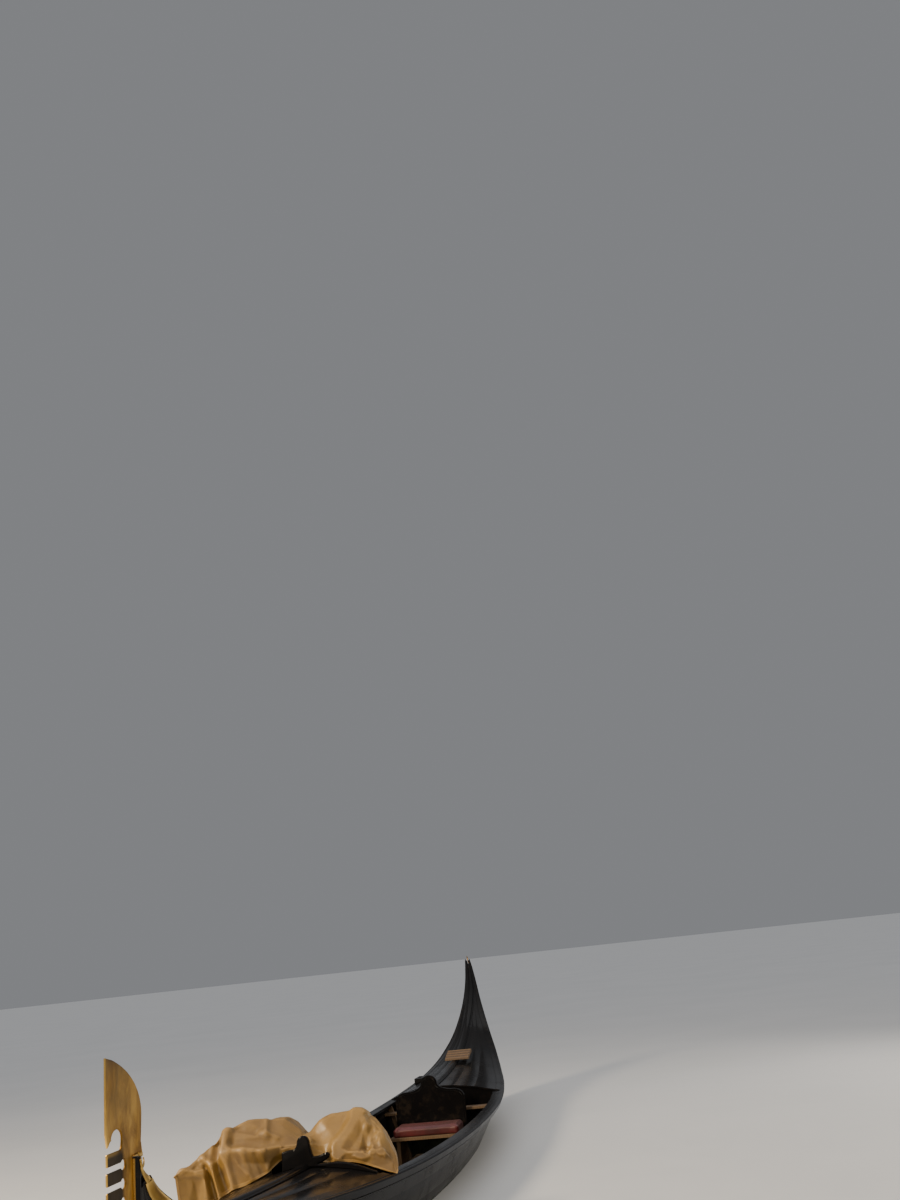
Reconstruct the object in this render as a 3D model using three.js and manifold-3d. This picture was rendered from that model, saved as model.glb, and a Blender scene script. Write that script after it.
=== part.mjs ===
// A moored gondola: a flat-bottomed, black, lopsided rowing boat about 11 m long, with its
// comb-toothed bow iron, its decked ends, its open cockpit and the canvas cover thrown over two chairs.
// Millimetres. +X towards the bow, +Y to port, +Z up; the origin lies on the waterline amidships.
import * as THREE from "three";
import { mergeVertices } from "three/addons/utils/BufferGeometryUtils.js";
import Module from "manifold-3d";

const wasm = await Module();
wasm.setup();

// Driving dimensions
const GAP = 0.3; // between pieces that touch on the real boat
const PLANK = 16; // side planking, measured across the boat
const BOTTOM = 22; // bottom planking
const DECK = 18; // deck boards
const FOREDECK_END = 2450; // aft edge of the foredeck
const AFT_DECK_END = -2050; // forward edge of the aft deck
const CROWN = 0.17; // deck crown as a share of the half beam
const WALE_WIDE = 36;
const WALE_DEEP = 62;
const COAMING_WIDE = 95;
const COAMING_THICK = 22;
const FRAME_THICK = 34;
const FRAME_DEEP = 45;
const FRAME_FLOOR = 55; // height of a frame's floor timber over the bottom planking
const FLOOR_THICK = 18;
const BULKHEAD = 22;

// The hull's lines, bow to stern: the sheer (top edge of the planking) and the chine (edge of the
// bottom). Port is the fuller side, so the boat is lopsided on its straight centreline.
const COLUMNS = ["sheerX", "sheerZ", "sheerPort", "sheerStar", "chineX", "chineZ", "chinePort", "chineStar"];
const LINES = [
  [5052, 985, 42, 42, 5129, 958, 38, 38],
  [4985, 910, 56, 55, 5122, 820, 38, 38],
  [4860, 812, 96, 87, 5084, 675, 39, 39],
  [4665, 692, 156, 133, 4995, 510, 40, 40],
  [4400, 616, 232, 190, 4810, 330, 43, 43],
  [4000, 567, 330, 258, 4400, 130, 80, 74],
  [3400, 515, 455, 345, 3700, -30, 175, 152],
  [2600, 462, 600, 448, 2750, -135, 300, 255],
  [1600, 420, 728, 532, 1650, -198, 402, 338],
  [500, 403, 815, 575, 500, -220, 455, 380],
  [-600, 400, 833, 570, -600, -218, 458, 375],
  [-1600, 412, 797, 530, -1650, -195, 420, 330],
  [-2500, 460, 694, 440, -2650, -132, 334, 246],
  [-3200, 540, 568, 337, -3500, -25, 222, 155],
  [-3800, 668, 440, 245, -4250, 150, 104, 78],
  [-4300, 855, 312, 168, -4800, 400, 46, 42],
  [-4700, 1074, 199, 121, -5120, 680, 38, 38],
  [-5000, 1310, 106, 92, -5310, 970, 36, 36],
  [-5200, 1526, 42, 82, -5388, 1240, 34, 36],
  [-5325, 1708, -10, 86, -5414, 1510, 16, 52],
  [-5390, 1815, -46, 90, -5414, 1725, -30, 78],
];
const PER_SPAN = 2; // stations made from each row to the next
const BOTTOM_FIRST_ROW = 4.5; // the bottom planking runs between these rows, and the posts beyond
const BOTTOM_LAST_ROW = 15;

const PAINT = { color: 0x0b0b0c, roughness: 0.25, metalness: 0 };
const FINISHES = {
  hull_black: PAINT,
  inner_wood: { color: 0x6b4a2c, roughness: 0.6, metalness: 0 },
  bright_metal: { color: 0xc9a565, roughness: 0.3, metalness: 1 },
  brass: { color: 0xb98b3a, roughness: 0.35, metalness: 1 },
  seat_leather: { color: 0x3a1012, roughness: 0.5, metalness: 0 },
  cover_canvas: { color: 0xb98f58, roughness: 0.8, metalness: 0 },
};

const lerp = (a, b, t) => a + (b - a) * t;

// One value of a column between rows, on a Catmull-Rom curve through the rows.
function between(column, u) {
  const i = Math.min(Math.floor(u), LINES.length - 2);
  const t = u - i;
  const row = (k) => LINES[Math.min(Math.max(k, 0), LINES.length - 1)][column];
  const [a, b, c, d] = [row(i - 1), row(i), row(i + 1), row(i + 2)];
  return b + 0.5 * t * (c - a + t * (2 * a - 5 * b + 4 * c - d + t * (3 * (b - c) + d - a)));
}

function station(u) {
  return Object.fromEntries(COLUMNS.map((name, column) => [name, between(column, u)]));
}

const LAST = (LINES.length - 1) * PER_SPAN;
const STATIONS = Array.from({ length: LAST + 1 }, (_, i) => station(i / PER_SPAN));

// The outward direction of the chine in the boat's profile, square to the run of the bottom.
STATIONS.forEach((s, i) => {
  const before = STATIONS[Math.max(i - 1, 0)];
  const after = STATIONS[Math.min(i + 1, LAST)];
  const run = new THREE.Vector2(after.chineX - before.chineX, after.chineZ - before.chineZ).normalize();
  s.out = new THREE.Vector2(-run.y, run.x);
});

// The head of the stem, which stands up over the planks' ends, and the rows of the stem post below it
const STEM_HEAD = 1109;
const stemHead = { ...STATIONS[0], sheerZ: STEM_HEAD - 20, chineX: 5132, chineZ: STEM_HEAD - 4, out: new THREE.Vector2(0.99, 0.14) };
const STEM_ROWS = [stemHead, ...STATIONS.slice(0, BOTTOM_FIRST_ROW * PER_SPAN + 1)];

// A station at any x along the sheer, straight between its neighbours, so that decks meet the planking.
function atSheer(x) {
  const i = STATIONS.findIndex((s) => s.sheerX <= x);
  const [a, b] = [STATIONS[i - 1], STATIONS[i]];
  const t = (x - a.sheerX) / (b.sheerX - a.sheerX);
  return Object.fromEntries(COLUMNS.map((name) => [name, lerp(a[name], b[name], t)]));
}

// The same along the chine.
function atChine(x) {
  const i = STATIONS.findIndex((s) => s.chineX <= x);
  const [a, b] = [STATIONS[i - 1], STATIONS[i]];
  const t = (x - a.chineX) / (b.chineX - a.chineX);
  return { z: lerp(a.chineZ, b.chineZ, t), port: lerp(a.chinePort, b.chinePort, t), star: lerp(a.chineStar, b.chineStar, t) };
}

// Stations from one x along the sheer to another, bow first.
function sheerStations(from, to) {
  const inside = STATIONS.filter((s) => s.sheerX < from - 1 && s.sheerX > to + 1);
  return [atSheer(from), ...inside, atSheer(to)];
}

// Closed solids

function bufferOf(points, index) {
  const positions = new Float32Array(points.flat());
  return new THREE.BufferGeometry()
    .setAttribute("position", new THREE.BufferAttribute(positions, 3))
    .setIndex(index);
}

function signedVolume(points, index) {
  let six = 0;
  for (let i = 0; i < index.length; i += 3) {
    const [a, b, c] = [points[index[i]], points[index[i + 1]], points[index[i + 2]]];
    six += a[0] * (b[1] * c[2] - b[2] * c[1]) + a[1] * (b[2] * c[0] - b[0] * c[2]) + a[2] * (b[0] * c[1] - b[1] * c[0]);
  }
  return six;
}

// A closed skin through rings that have the same number of points, with both ends capped.
function loft(rings, capAxes = [1, 2]) {
  const n = rings[0].length;
  const points = rings.flat();
  const index = [];
  for (let i = 0; i + 1 < rings.length; i++)
    for (let j = 0; j < n; j++) {
      const [a, b] = [i * n + j, i * n + ((j + 1) % n)];
      index.push(a, b, b + n, a, b + n, a + n);
    }
  const area = (p, q, r) => (q.x - p.x) * (r.y - p.y) - (r.x - p.x) * (q.y - p.y);
  for (const last of [false, true]) {
    const start = last ? (rings.length - 1) * n : 0;
    const flat = rings[last ? rings.length - 1 : 0].map((p) => new THREE.Vector2(p[capAxes[0]], p[capAxes[1]]));
    const ringTurn = Math.sign(THREE.ShapeUtils.area(flat));
    for (const [a, b, c] of THREE.ShapeUtils.triangulateShape(flat, [])) {
      const withRing = Math.sign(area(flat[a], flat[b], flat[c])) === ringTurn;
      const face = withRing === last ? [a, b, c] : [a, c, b];
      index.push(...face.map((k) => k + start));
    }
  }
  if (signedVolume(points, index) < 0) index.reverse();
  return bufferOf(points, index);
}

function toSolid(geometry) {
  const bare = geometry.index ? geometry.toNonIndexed() : geometry.clone();
  for (const name of Object.keys(bare.attributes)) if (name !== "position") bare.deleteAttribute(name);
  const merged = mergeVertices(bare, 1e-3);
  const triVerts = new Uint32Array(merged.index.array);
  return new wasm.Manifold(new wasm.Mesh({ numProp: 3, vertProperties: merged.attributes.position.array, triVerts }));
}

function toGeometry(solid) {
  const mesh = solid.getMesh();
  const points = [];
  for (let i = 0; i < mesh.numVert; i++) points.push([...mesh.vertProperties.subarray(i * mesh.numProp, i * mesh.numProp + 3)]);
  return bufferOf(points, [...mesh.triVerts]);
}

function block([x0, x1], [y0, y1], [z0, z1]) {
  return toSolid(new THREE.BoxGeometry(x1 - x0, y1 - y0, z1 - z0).translate((x0 + x1) / 2, (y0 + y1) / 2, (z0 + z1) / 2));
}

function postOf(radius, [z0, z1], x, y, sides = 12) {
  return toSolid(new THREE.CylinderGeometry(radius, radius, z1 - z0, sides).rotateX(Math.PI / 2).translate(x, y, (z0 + z1) / 2));
}

// The biggest body of a cut piece, without the slivers left by the cut
function largest(solid) {
  return solid.decompose().sort((a, b) => b.volume() - a.volume())[0];
}

const boat = new THREE.Group();

function add(name, finish, made) {
  const geometry = made.isBufferGeometry ? made : toGeometry(made);
  const mesh = new THREE.Mesh(geometry, new THREE.MeshStandardMaterial(FINISHES[finish]));
  mesh.name = name;
  boat.add(mesh);
  return mesh;
}

// Hull

const sides = { port: { sign: 1, sheer: "sheerPort", chine: "chinePort" }, starboard: { sign: -1, sheer: "sheerStar", chine: "chineStar" } };

// A point down the outside of the planking from the sheer, moved across by some distance.
function downPlanking(s, side, depth, across) {
  const t = depth / Math.hypot(s.sheerX - s.chineX, s.sheerZ - s.chineZ);
  const y = lerp(s[side.sheer], s[side.chine], t) + across;
  return [lerp(s.sheerX, s.chineX, t), side.sign * y, lerp(s.sheerZ, s.chineZ, t)];
}

// Each side is planked in lengths that butt where a frame or a bulkhead backs them.
const LENGTHS = { bow: [0, 7], fore_waist: [7, 9], aft_waist: [9, 11], quarter: [11, 14], stern: [14, 20] };
const rowsBetween = ([from, to]) => STATIONS.slice(from * PER_SPAN, to * PER_SPAN + 1);

// Rings with the first one moved a hair towards the next, which leaves the gap of a butt.
function butted(rings) {
  const [first, next] = rings;
  const length = Math.hypot(...first[0].map((v, k) => v - next[0][k]));
  return [first.map((point, j) => point.map((v, k) => lerp(v, next[j][k], GAP / length))), ...rings.slice(1)];
}

function sidePlanking(side, rows) {
  return loft(
    butted(
      rows.map((s) => [
        [s.chineX, side.sign * s[side.chine], s.chineZ],
        [s.sheerX, side.sign * s[side.sheer], s.sheerZ],
        [s.sheerX, side.sign * (s[side.sheer] - PLANK), s.sheerZ],
        [s.chineX, side.sign * (s[side.chine] - PLANK), s.chineZ],
      ]),
    ),
  );
}

// The rub rail outside the sheer, tapered to both ends of the boat.
function wale(side) {
  return loft(
    STATIONS.map((s) => {
      const full = Math.min(1, 0.3 + (s.sheerPort + s.sheerStar) / 840);
      const deep = Math.min(WALE_DEEP * full, 0.6 * Math.hypot(s.sheerX - s.chineX, s.sheerZ - s.chineZ));
      const [wide, y] = [WALE_WIDE * full, s[side.sheer] + GAP];
      return [
        [s.sheerX, side.sign * y, s.sheerZ + DECK],
        [s.sheerX, side.sign * (y + 0.8 * wide), s.sheerZ + DECK],
        [s.sheerX, side.sign * (y + wide), s.sheerZ + DECK / 2],
        downPlanking(s, side, deep, GAP + wide),
        downPlanking(s, side, deep, GAP),
        [s.sheerX, side.sign * y, s.sheerZ],
      ];
    }),
  );
}

function alongBottom(s, depth, across) {
  return [s.chineX + s.out.x * depth, across, s.chineZ + s.out.y * depth];
}

const BOTTOM_LENGTHS = { bow: [BOTTOM_FIRST_ROW, 7], fore_waist: [7, 9], aft_waist: [9, 11.5], stern: [11.5, BOTTOM_LAST_ROW] };
function bottomPlanking(rows) {
  return loft(
    butted(
      rows.map((s) => [
        alongBottom(s, GAP, s.chinePort),
        alongBottom(s, GAP, -s.chineStar),
        alongBottom(s, BOTTOM, -s.chineStar),
        alongBottom(s, BOTTOM, s.chinePort),
      ]),
    ),
  );
}

// A post is a T in section: its flange lies outside the planks' edges and its web between them.
const POST_WEB = 70;
function endPost(rows, start) {
  const first = rows[0];
  const shift = new THREE.Vector2(rows[1].chineX - first.chineX, rows[1].chineZ - first.chineZ).setLength(2 * GAP);
  const ring = (s) => {
    const web = Math.min(POST_WEB, 0.55 * Math.hypot(s.sheerX - s.chineX, s.sheerZ - s.chineZ));
    const [port, star] = [s.chinePort - PLANK - GAP, s.chineStar - PLANK - GAP];
    return [
      alongBottom(s, BOTTOM, s.chinePort),
      alongBottom(s, GAP, s.chinePort),
      alongBottom(s, GAP, port),
      alongBottom(s, -web, port),
      alongBottom(s, -web, -star),
      alongBottom(s, GAP, -star),
      alongBottom(s, GAP, -s.chineStar),
      alongBottom(s, BOTTOM, -s.chineStar),
    ];
  };
  const rings = rows.map(ring);
  rings[0] = rings[0].map(([x, y, z]) => [x + shift.x, y, z + shift.y]);
  return loft(rings, start);
}

const planking = { port: toSolid(sidePlanking(sides.port, STATIONS)), starboard: toSolid(sidePlanking(sides.starboard, STATIONS)) };
for (const [name, side] of Object.entries(sides))
  for (const [where, rows] of Object.entries(LENGTHS))
    add([name, where, "planking"].join("_"), "hull_black", sidePlanking(side, rowsBetween(rows)));
for (const [where, rows] of Object.entries(BOTTOM_LENGTHS)) add([where, "bottom"].join("_"), "hull_black", bottomPlanking(rowsBetween(rows)));
add("stem_post", "hull_black", endPost([...STEM_ROWS].reverse()));
add("stern_post", "hull_black", endPost(STATIONS.slice(BOTTOM_LAST_ROW * PER_SPAN)));
const clearOfPlanking = (side, solid) => solid.subtract(planking[side].translate([0, sides[side].sign * 0.5 * GAP, 0])).simplify(0.02);
add("port_wale", "hull_black", clearOfPlanking("port", toSolid(wale(sides.port))));
add("starboard_wale", "hull_black", clearOfPlanking("starboard", toSolid(wale(sides.starboard))));

// Decks

// The line where the deck is highest: the boat's middle, and at the stern's tip the middle of its lean
const deckMiddle = (s) => (s.sheerX < -4900 ? Math.min(0, (s.sheerPort - s.sheerStar) / 2) : 0);
const deckHalf = (s, y) => (y >= deckMiddle(s) ? s.sheerPort - deckMiddle(s) : s.sheerStar + deckMiddle(s));
const deckRise = (s, y) => ((CROWN * (s.sheerPort + s.sheerStar)) / 2) * (1 - ((y - deckMiddle(s)) / deckHalf(s, y)) ** 2);
const DECK_SHARES = [1, 0.75, 0.5, 0.25, 0];
const deckWidths = (s) => [
  ...DECK_SHARES.map((k) => lerp(deckMiddle(s), s.sheerPort, k)),
  ...DECK_SHARES.slice(0, -1).reverse().map((k) => lerp(deckMiddle(s), -s.sheerStar, k)),
];

function deck(from, to) {
  const top = (s, rise) => deckWidths(s).map((y) => [s.sheerX, y, s.sheerZ + deckRise(s, y) + rise]);
  return loft(sheerStations(from, to).map((s) => [...top(s, DECK), ...top(s, GAP).reverse()]));
}

// The raised rib along the middle of a deck, tapered like the deck.
const RIDGE_HALF = 46;
const RIDGE_HIGH = 26;
function ridge(from, to) {
  return loft(
    sheerStations(from, to).map((s) => {
      const middle = deckMiddle(s);
      const z = s.sheerZ + deckRise(s, middle) + DECK + GAP;
      const half = Math.min(RIDGE_HALF, 0.45 * deckHalf(s, -1e3));
      const section = [[half, 0], [half, 0.35], [0.55 * half, 1], [-0.55 * half, 1], [-half, 0.35], [-half, 0]];
      return section.map(([y, up]) => [s.sheerX, middle + y, z + up * RIDGE_HIGH]);
    }),
  );
}

const FOREDECK_FRONT = 5044;
const AFT_DECK_BACK = -5350;
const foredeckSolid = toSolid(deck(FOREDECK_FRONT, FOREDECK_END));
add("foredeck", "hull_black", foredeckSolid);
const aftDeckSolid = toSolid(deck(AFT_DECK_END, AFT_DECK_BACK));
add("aft_deck", "hull_black", aftDeckSolid);
const CREST_X = [FOREDECK_END + 12, FOREDECK_END + 44];
add("foredeck_ridge", "hull_black", ridge(FOREDECK_FRONT - 10, CREST_X[1] + GAP));
add("aft_deck_ridge", "hull_black", ridge(AFT_DECK_END, AFT_DECK_BACK + 40));

// The carved crest board across the foredeck's aft edge, with a round-headed peak in the middle and
// a scroll that curls up on its port side. Its outline is in the plane across the boat.
const CREST_TOP = 776;
function crest() {
  const outline = new THREE.Shape();
  outline.moveTo(-168, 480);
  outline.lineTo(-166, 676);
  outline.quadraticCurveTo(-120, 690, -76, 690);
  outline.quadraticCurveTo(-52, 700, -50, CREST_TOP - 46);
  outline.absarc(-2, CREST_TOP - 46, 46, Math.PI, 0, true);
  outline.quadraticCurveTo(56, 660, 70, 636);
  outline.quadraticCurveTo(110, 634, 150, 652);
  outline.absarc(172, 636, 20, 2.3, -1.1, true);
  outline.quadraticCurveTo(150, 596, 112, 588);
  outline.quadraticCurveTo(100, 586, 128, 584);
  outline.bezierCurveTo(200, 590, 300, 594, 363, 568);
  outline.bezierCurveTo(430, 548, 480, 524, 536, 508);
  outline.lineTo(540, 430);
  const board = new THREE.ExtrudeGeometry(outline, { depth: CREST_X[1] - CREST_X[0], bevelEnabled: false, curveSegments: 6 });
  // The outline's own x runs across the boat and its y runs up.
  board.applyMatrix4(new THREE.Matrix4().set(0, 0, 1, CREST_X[0], 1, 0, 0, 0, 0, 1, 0, 0, 0, 0, 0, 1));
  return toSolid(board).subtract(foredeckSolid.translate([0, 0, GAP])).trimByPlane([0, 0, 1], 470);
}

add("foredeck_crest", "hull_black", largest(crest()));

// Inside of the hull

// The space between the planks, and up to the decks where crowned is 1; shrink takes a margin off it.
function insideRing(s, crowned, margin, floor) {
  const top = crowned
    ? deckWidths(s).map((y) => [s.sheerX, y * (1 - (PLANK + GAP) / deckHalf(s, y)), s.sheerZ + deckRise(s, y) - GAP])
    : [[s.sheerX, s.sheerPort - PLANK - GAP - margin, s.sheerZ - GAP], [s.sheerX, -(s.sheerStar - PLANK - GAP - margin), s.sheerZ - GAP]];
  return [
    [s.chineX, s.chinePort - PLANK - GAP - margin, s.chineZ + GAP + floor],
    ...top,
    [s.chineX, -(s.chineStar - PLANK - GAP - margin), s.chineZ + GAP + floor],
  ];
}

function insideHull({ crowned = 0, margin = 0, floor = 0 } = {}) {
  const rows = STATIONS.filter((s) => s.chineX < 4200 && s.chineX > -4200);
  return toSolid(loft(rows.map((s) => insideRing(s, crowned, margin, floor))));
}

const betweenPlanks = (solid) =>
  solid.subtract(planking.port.translate([0, -2 * GAP, 0])).subtract(planking.starboard.translate([0, 2 * GAP, 0]));
const hollow = betweenPlanks(insideHull());
const hollowToDeck = betweenPlanks(insideHull({ crowned: 1 }));
const clearOfFrames = insideHull({ margin: FRAME_DEEP, floor: FRAME_FLOOR }).add(
  insideHull({ margin: FRAME_DEEP, floor: FRAME_FLOOR }).translate([0, 0, 40]),
);

// Frames: one U of timber across the boat at each place
const FRAME_PLACES = [2200, 1620, 1040, 460, -120, -700, -1280, -1860];
FRAME_PLACES.forEach((x, i) => {
  const slab = block([x - FRAME_THICK / 2, x + FRAME_THICK / 2], [-1000, 1000], [-400, 800]);
  const timber = hollow.intersect(slab).subtract(clearOfFrames);
  add("frame_" + (i + 1), "inner_wood", largest(timber));
});

// Floorboards over the frames
function floorboards() {
  const inside = STATIONS.map((s) => s.chineX).filter((x) => x < 2300 && x > -1960);
  const inset = PLANK + FRAME_DEEP + 8;
  return loft(
    [2340, ...inside, -1980].map((x) => {
      const s = atChine(x);
      const z = s.z + FRAME_FLOOR + 3 * GAP;
      return [
        [x, s.port - inset, z],
        [x, s.port - inset, z + FLOOR_THICK],
        [x, inset - s.star, z + FLOOR_THICK],
        [x, inset - s.star, z],
      ];
    }),
  );
}
add("floorboards", "inner_wood", floorboards());

// Cap boards on the planking beside the cockpit
function coaming(side) {
  const across = (s, from, to) => [
    [s.sheerX, side.sign * (s[side.sheer] - from), s.sheerZ + GAP],
    [s.sheerX, side.sign * (s[side.sheer] - from), s.sheerZ + COAMING_THICK],
    [s.sheerX, side.sign * (s[side.sheer] - to), s.sheerZ + COAMING_THICK],
    [s.sheerX, side.sign * (s[side.sheer] - to), s.sheerZ + GAP],
  ];
  return loft(sheerStations(FOREDECK_END - GAP, AFT_DECK_END + GAP).map((s) => across(s, 0, COAMING_WIDE)));
}
add("port_coaming", "hull_black", coaming(sides.port));
add("starboard_coaming", "hull_black", coaming(sides.starboard));

// Thwarts just inside the two decks, under the coamings
const THWART_DROP = 60;
const THWART_THICK = 26;
for (const [name, x0, x1] of [["fore_thwart", 2240, 2360], ["aft_thwart", -1800, -1680]]) {
  const z = atSheer((x0 + x1) / 2).sheerZ - THWART_DROP;
  add(name, "inner_wood", hollow.intersect(block([x0, x1], [-1000, 1000], [z - THWART_THICK, z])));
}

// Bulkheads under the decks' inner edges, each with a hinged locker door

const DOOR = { wide: 380, low: 70, high: 330, thick: 16, clearance: 5 };
const DOOR_MIDDLE = 30; // its offset to the fuller side
const PIN = { radius: 4, inFront: 14, boss: 8 };
const KNUCKLES = [[110, 150], [250, 290]]; // heights of the door's two barrels
const DOOR_SIDES = 16;

// face is the bulkhead's cockpit side; ahead is 1 for the bow's, whose locker lies towards +X, and -1 for the stern's.
function locker(name, face, ahead) {
  const edge = DOOR_MIDDLE + DOOR.wide / 2;
  const span = (a, b) => (ahead > 0 ? [face + a, face + b] : [face - b, face - a]);
  const slab = block(span(0, BULKHEAD), [-1000, 1000], [-400, 800]);
  const opening = block(span(-50, BULKHEAD + 50), [edge - DOOR.wide, edge], [DOOR.low, DOOR.high]);
  add(name + "_bulkhead", "hull_black", hollowToDeck.intersect(slab).subtract(opening));

  const pinX = face - ahead * PIN.inFront;
  const inset = DOOR.clearance;
  let door = block(span(3, 3 + DOOR.thick), [edge - DOOR.wide + inset, edge - inset], [DOOR.low + inset, DOOR.high - inset]);
  for (const heights of KNUCKLES) {
    const leaf = block(span(-4, 3.5), [edge - 60, edge - 6], heights);
    const strap = block(span(-PIN.inFront - 3, -1.5), [edge - 40, edge - 2], heights);
    door = door.add(leaf).add(strap).add(postOf(PIN.boss, heights, pinX, edge, DOOR_SIDES));
  }
  door = door.subtract(postOf(PIN.radius + 0.6, [0, 500], pinX, edge, DOOR_SIDES));
  add(name + "_door", "hull_black", door);

  // The fixed half: a pin held by two lugs on a leaf beside the opening
  let hinge = postOf(PIN.radius, [KNUCKLES[0][0] - 20, KNUCKLES[1][1] + 20], pinX, edge, DOOR_SIDES);
  for (const z of [KNUCKLES[0][1] + 2, KNUCKLES[1][0] - 22]) {
    hinge = hinge.add(block(span(-PIN.inFront - 4, -GAP), [edge - 3, edge + 40], [z, z + 20]));
  }
  hinge = hinge.add(block(span(-4, -GAP), [edge + 8, edge + 40], [KNUCKLES[0][0] - 20, KNUCKLES[1][1] + 20]));
  add(name + "_hinge", "brass", hinge);

  const knob = new THREE.LatheGeometry(
    [[0, 0], [9, 0], [6, 8], [6, 14], [15, 20], [15, 28], [8, 34], [0, 34]].map(([r, z]) => new THREE.Vector2(r, z)),
    12,
  );
  knob.rotateZ(ahead * Math.PI / 2).translate(face + ahead * (3 - GAP), edge - DOOR.wide + 50, (DOOR.low + DOOR.high) / 2);
  add(name + "_knob", "brass", toSolid(knob));
}
locker("bow_locker", FOREDECK_END + 12, 1);
locker("stern_locker", AFT_DECK_END - 12, -1);

// Seats in the cockpit

// Just over the floorboards, whichever of two places is the higher
function floorTop([x0, x1]) {
  return Math.max(atChine(x0).z, atChine(x1).z) + FRAME_FLOOR + FLOOR_THICK + 4 * GAP;
}

const SEAT = { x: [-1640, -1240], y: [-330, 430], top: 170, thick: 30, leg: 40 };
function seatBench() {
  let bench = block(SEAT.x, SEAT.y, [SEAT.top - SEAT.thick, SEAT.top]);
  const floor = floorTop([SEAT.x[0] + 40, SEAT.x[1] - 40]);
  for (const y of [SEAT.y[0] + 60, SEAT.y[1] - 60 - SEAT.leg])
    bench = bench.add(block([SEAT.x[0] + 40, SEAT.x[1] - 40], [y, y + SEAT.leg], [floor, SEAT.top - SEAT.thick + 1]));
  return bench;
}

add("seat_bench", "inner_wood", seatBench());

// The passengers' seat back: a board with a scrolled top, raked a little aft
function seatBack() {
  const [y0, y1] = SEAT.y;
  const middle = (y0 + y1) / 2;
  const outline = new THREE.Shape();
  outline.moveTo(y0, SEAT.top + GAP);
  outline.lineTo(y0, 470);
  outline.quadraticCurveTo(y0 + 20, 560, y0 + 130, 560);
  outline.quadraticCurveTo(middle - 120, 565, middle - 90, 620);
  outline.absarc(middle, 620, 90, Math.PI, 0, true);
  outline.quadraticCurveTo(middle + 120, 565, y1 - 130, 560);
  outline.quadraticCurveTo(y1 - 20, 560, y1, 470);
  outline.lineTo(y1, SEAT.top + GAP);
  const board = new THREE.ExtrudeGeometry(outline, { depth: 30, bevelEnabled: false, curveSegments: 8 });
  board.applyMatrix4(new THREE.Matrix4().set(0, 0, 1, SEAT.x[0], 1, 0, 0, 0, 0, 1, 0, 0, 0, 0, 0, 1));
  return board;
}
add("seat_back", "hull_black", seatBack());

function cushion() {
  const [x0, x1] = [SEAT.x[0] + 34, SEAT.x[1]];
  return block([x0, x1], [SEAT.y[0] + 10, SEAT.y[1] - 10], [SEAT.top + GAP, SEAT.top + 85]);
}
add("seat_cushion", "seat_leather", cushion());

// Two small chairs face aft at the bow end of the cockpit; their backs hold up the cover.
const CHAIR = { x: [1720, 2050], wide: 330, seatHigh: 250, backHigh: 780, leg: 36, legInset: 100, back: 30 };
function chairBack([y0, y1]) {
  const outline = new THREE.Shape();
  const middle = (y0 + y1) / 2;
  outline.moveTo(y0, CHAIR.seatHigh - 20);
  outline.lineTo(y0, CHAIR.backHigh - 110);
  outline.bezierCurveTo(y0 + 10, CHAIR.backHigh - 40, middle - 90, CHAIR.backHigh, middle, CHAIR.backHigh);
  outline.bezierCurveTo(middle + 90, CHAIR.backHigh, y1 - 10, CHAIR.backHigh - 40, y1, CHAIR.backHigh - 110);
  outline.lineTo(y1, CHAIR.seatHigh - 20);
  const board = new THREE.ExtrudeGeometry(outline, { depth: CHAIR.back, bevelEnabled: false, curveSegments: 6 });
  board.applyMatrix4(new THREE.Matrix4().set(0, 0, 1, CHAIR.x[1] - CHAIR.back, 1, 0, 0, 0, 0, 1, 0, 0, 0, 0, 0, 1));
  return toSolid(board);
}

for (const [name, middle, ahead] of [["port_chair", 215, 0], ["starboard_chair", -222, 58]]) {
  const y = [middle - CHAIR.wide / 2, middle + CHAIR.wide / 2];
  const floor = floorTop([CHAIR.x[0] + 15 + ahead, CHAIR.x[1] - 15 + ahead]);
  let chair = block(CHAIR.x, y, [CHAIR.seatHigh - 40, CHAIR.seatHigh]).add(chairBack(y));
  for (const x of [CHAIR.x[0] + 15, CHAIR.x[1] - CHAIR.leg - 15])
    for (const leg of [y[0] + CHAIR.legInset, y[1] - CHAIR.legInset - CHAIR.leg])
      chair = chair.add(block([x, x + CHAIR.leg], [leg, leg + CHAIR.leg], [floor, CHAIR.seatHigh - 39]));
  add(name, "hull_black", chair.translate([ahead, 0, 0]));
}

// Bow iron: one plate on the centreline, with its axe-shaped blade, the arch under it, six teeth
// forward, one tongue aft, and the strap that runs down the front of the stem.

const IRON = {
  thick: 12,
  frontX: 5435,
  top: 1600,
  spike: 411, // from the top down to the point of the blade's lower front corner
  archTop: 340,
  pitch: 85, // tooth to tooth
  teeth: 6,
  firstTooth: 438, // from the top down to the first tooth
  toothHigh: 58,
  toothLong: 168, // tip to the round gap's middle
  root: 24, // radius of the round gap at the teeth's roots
  band: 85, // the upright band behind the teeth
  lowest: 290,
};

// The stem post's front face at a height.
function stemFront(z) {
  const faces = STEM_ROWS.map((s) => alongBottom(s, BOTTOM, 0));
  const i = faces.findIndex((p) => p[2] <= z);
  if (i <= 0) return faces[0][0];
  const [a, b] = [faces[i - 1], faces[i]];
  return lerp(a[0], b[0], (z - a[2]) / (b[2] - a[2]));
}

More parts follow.
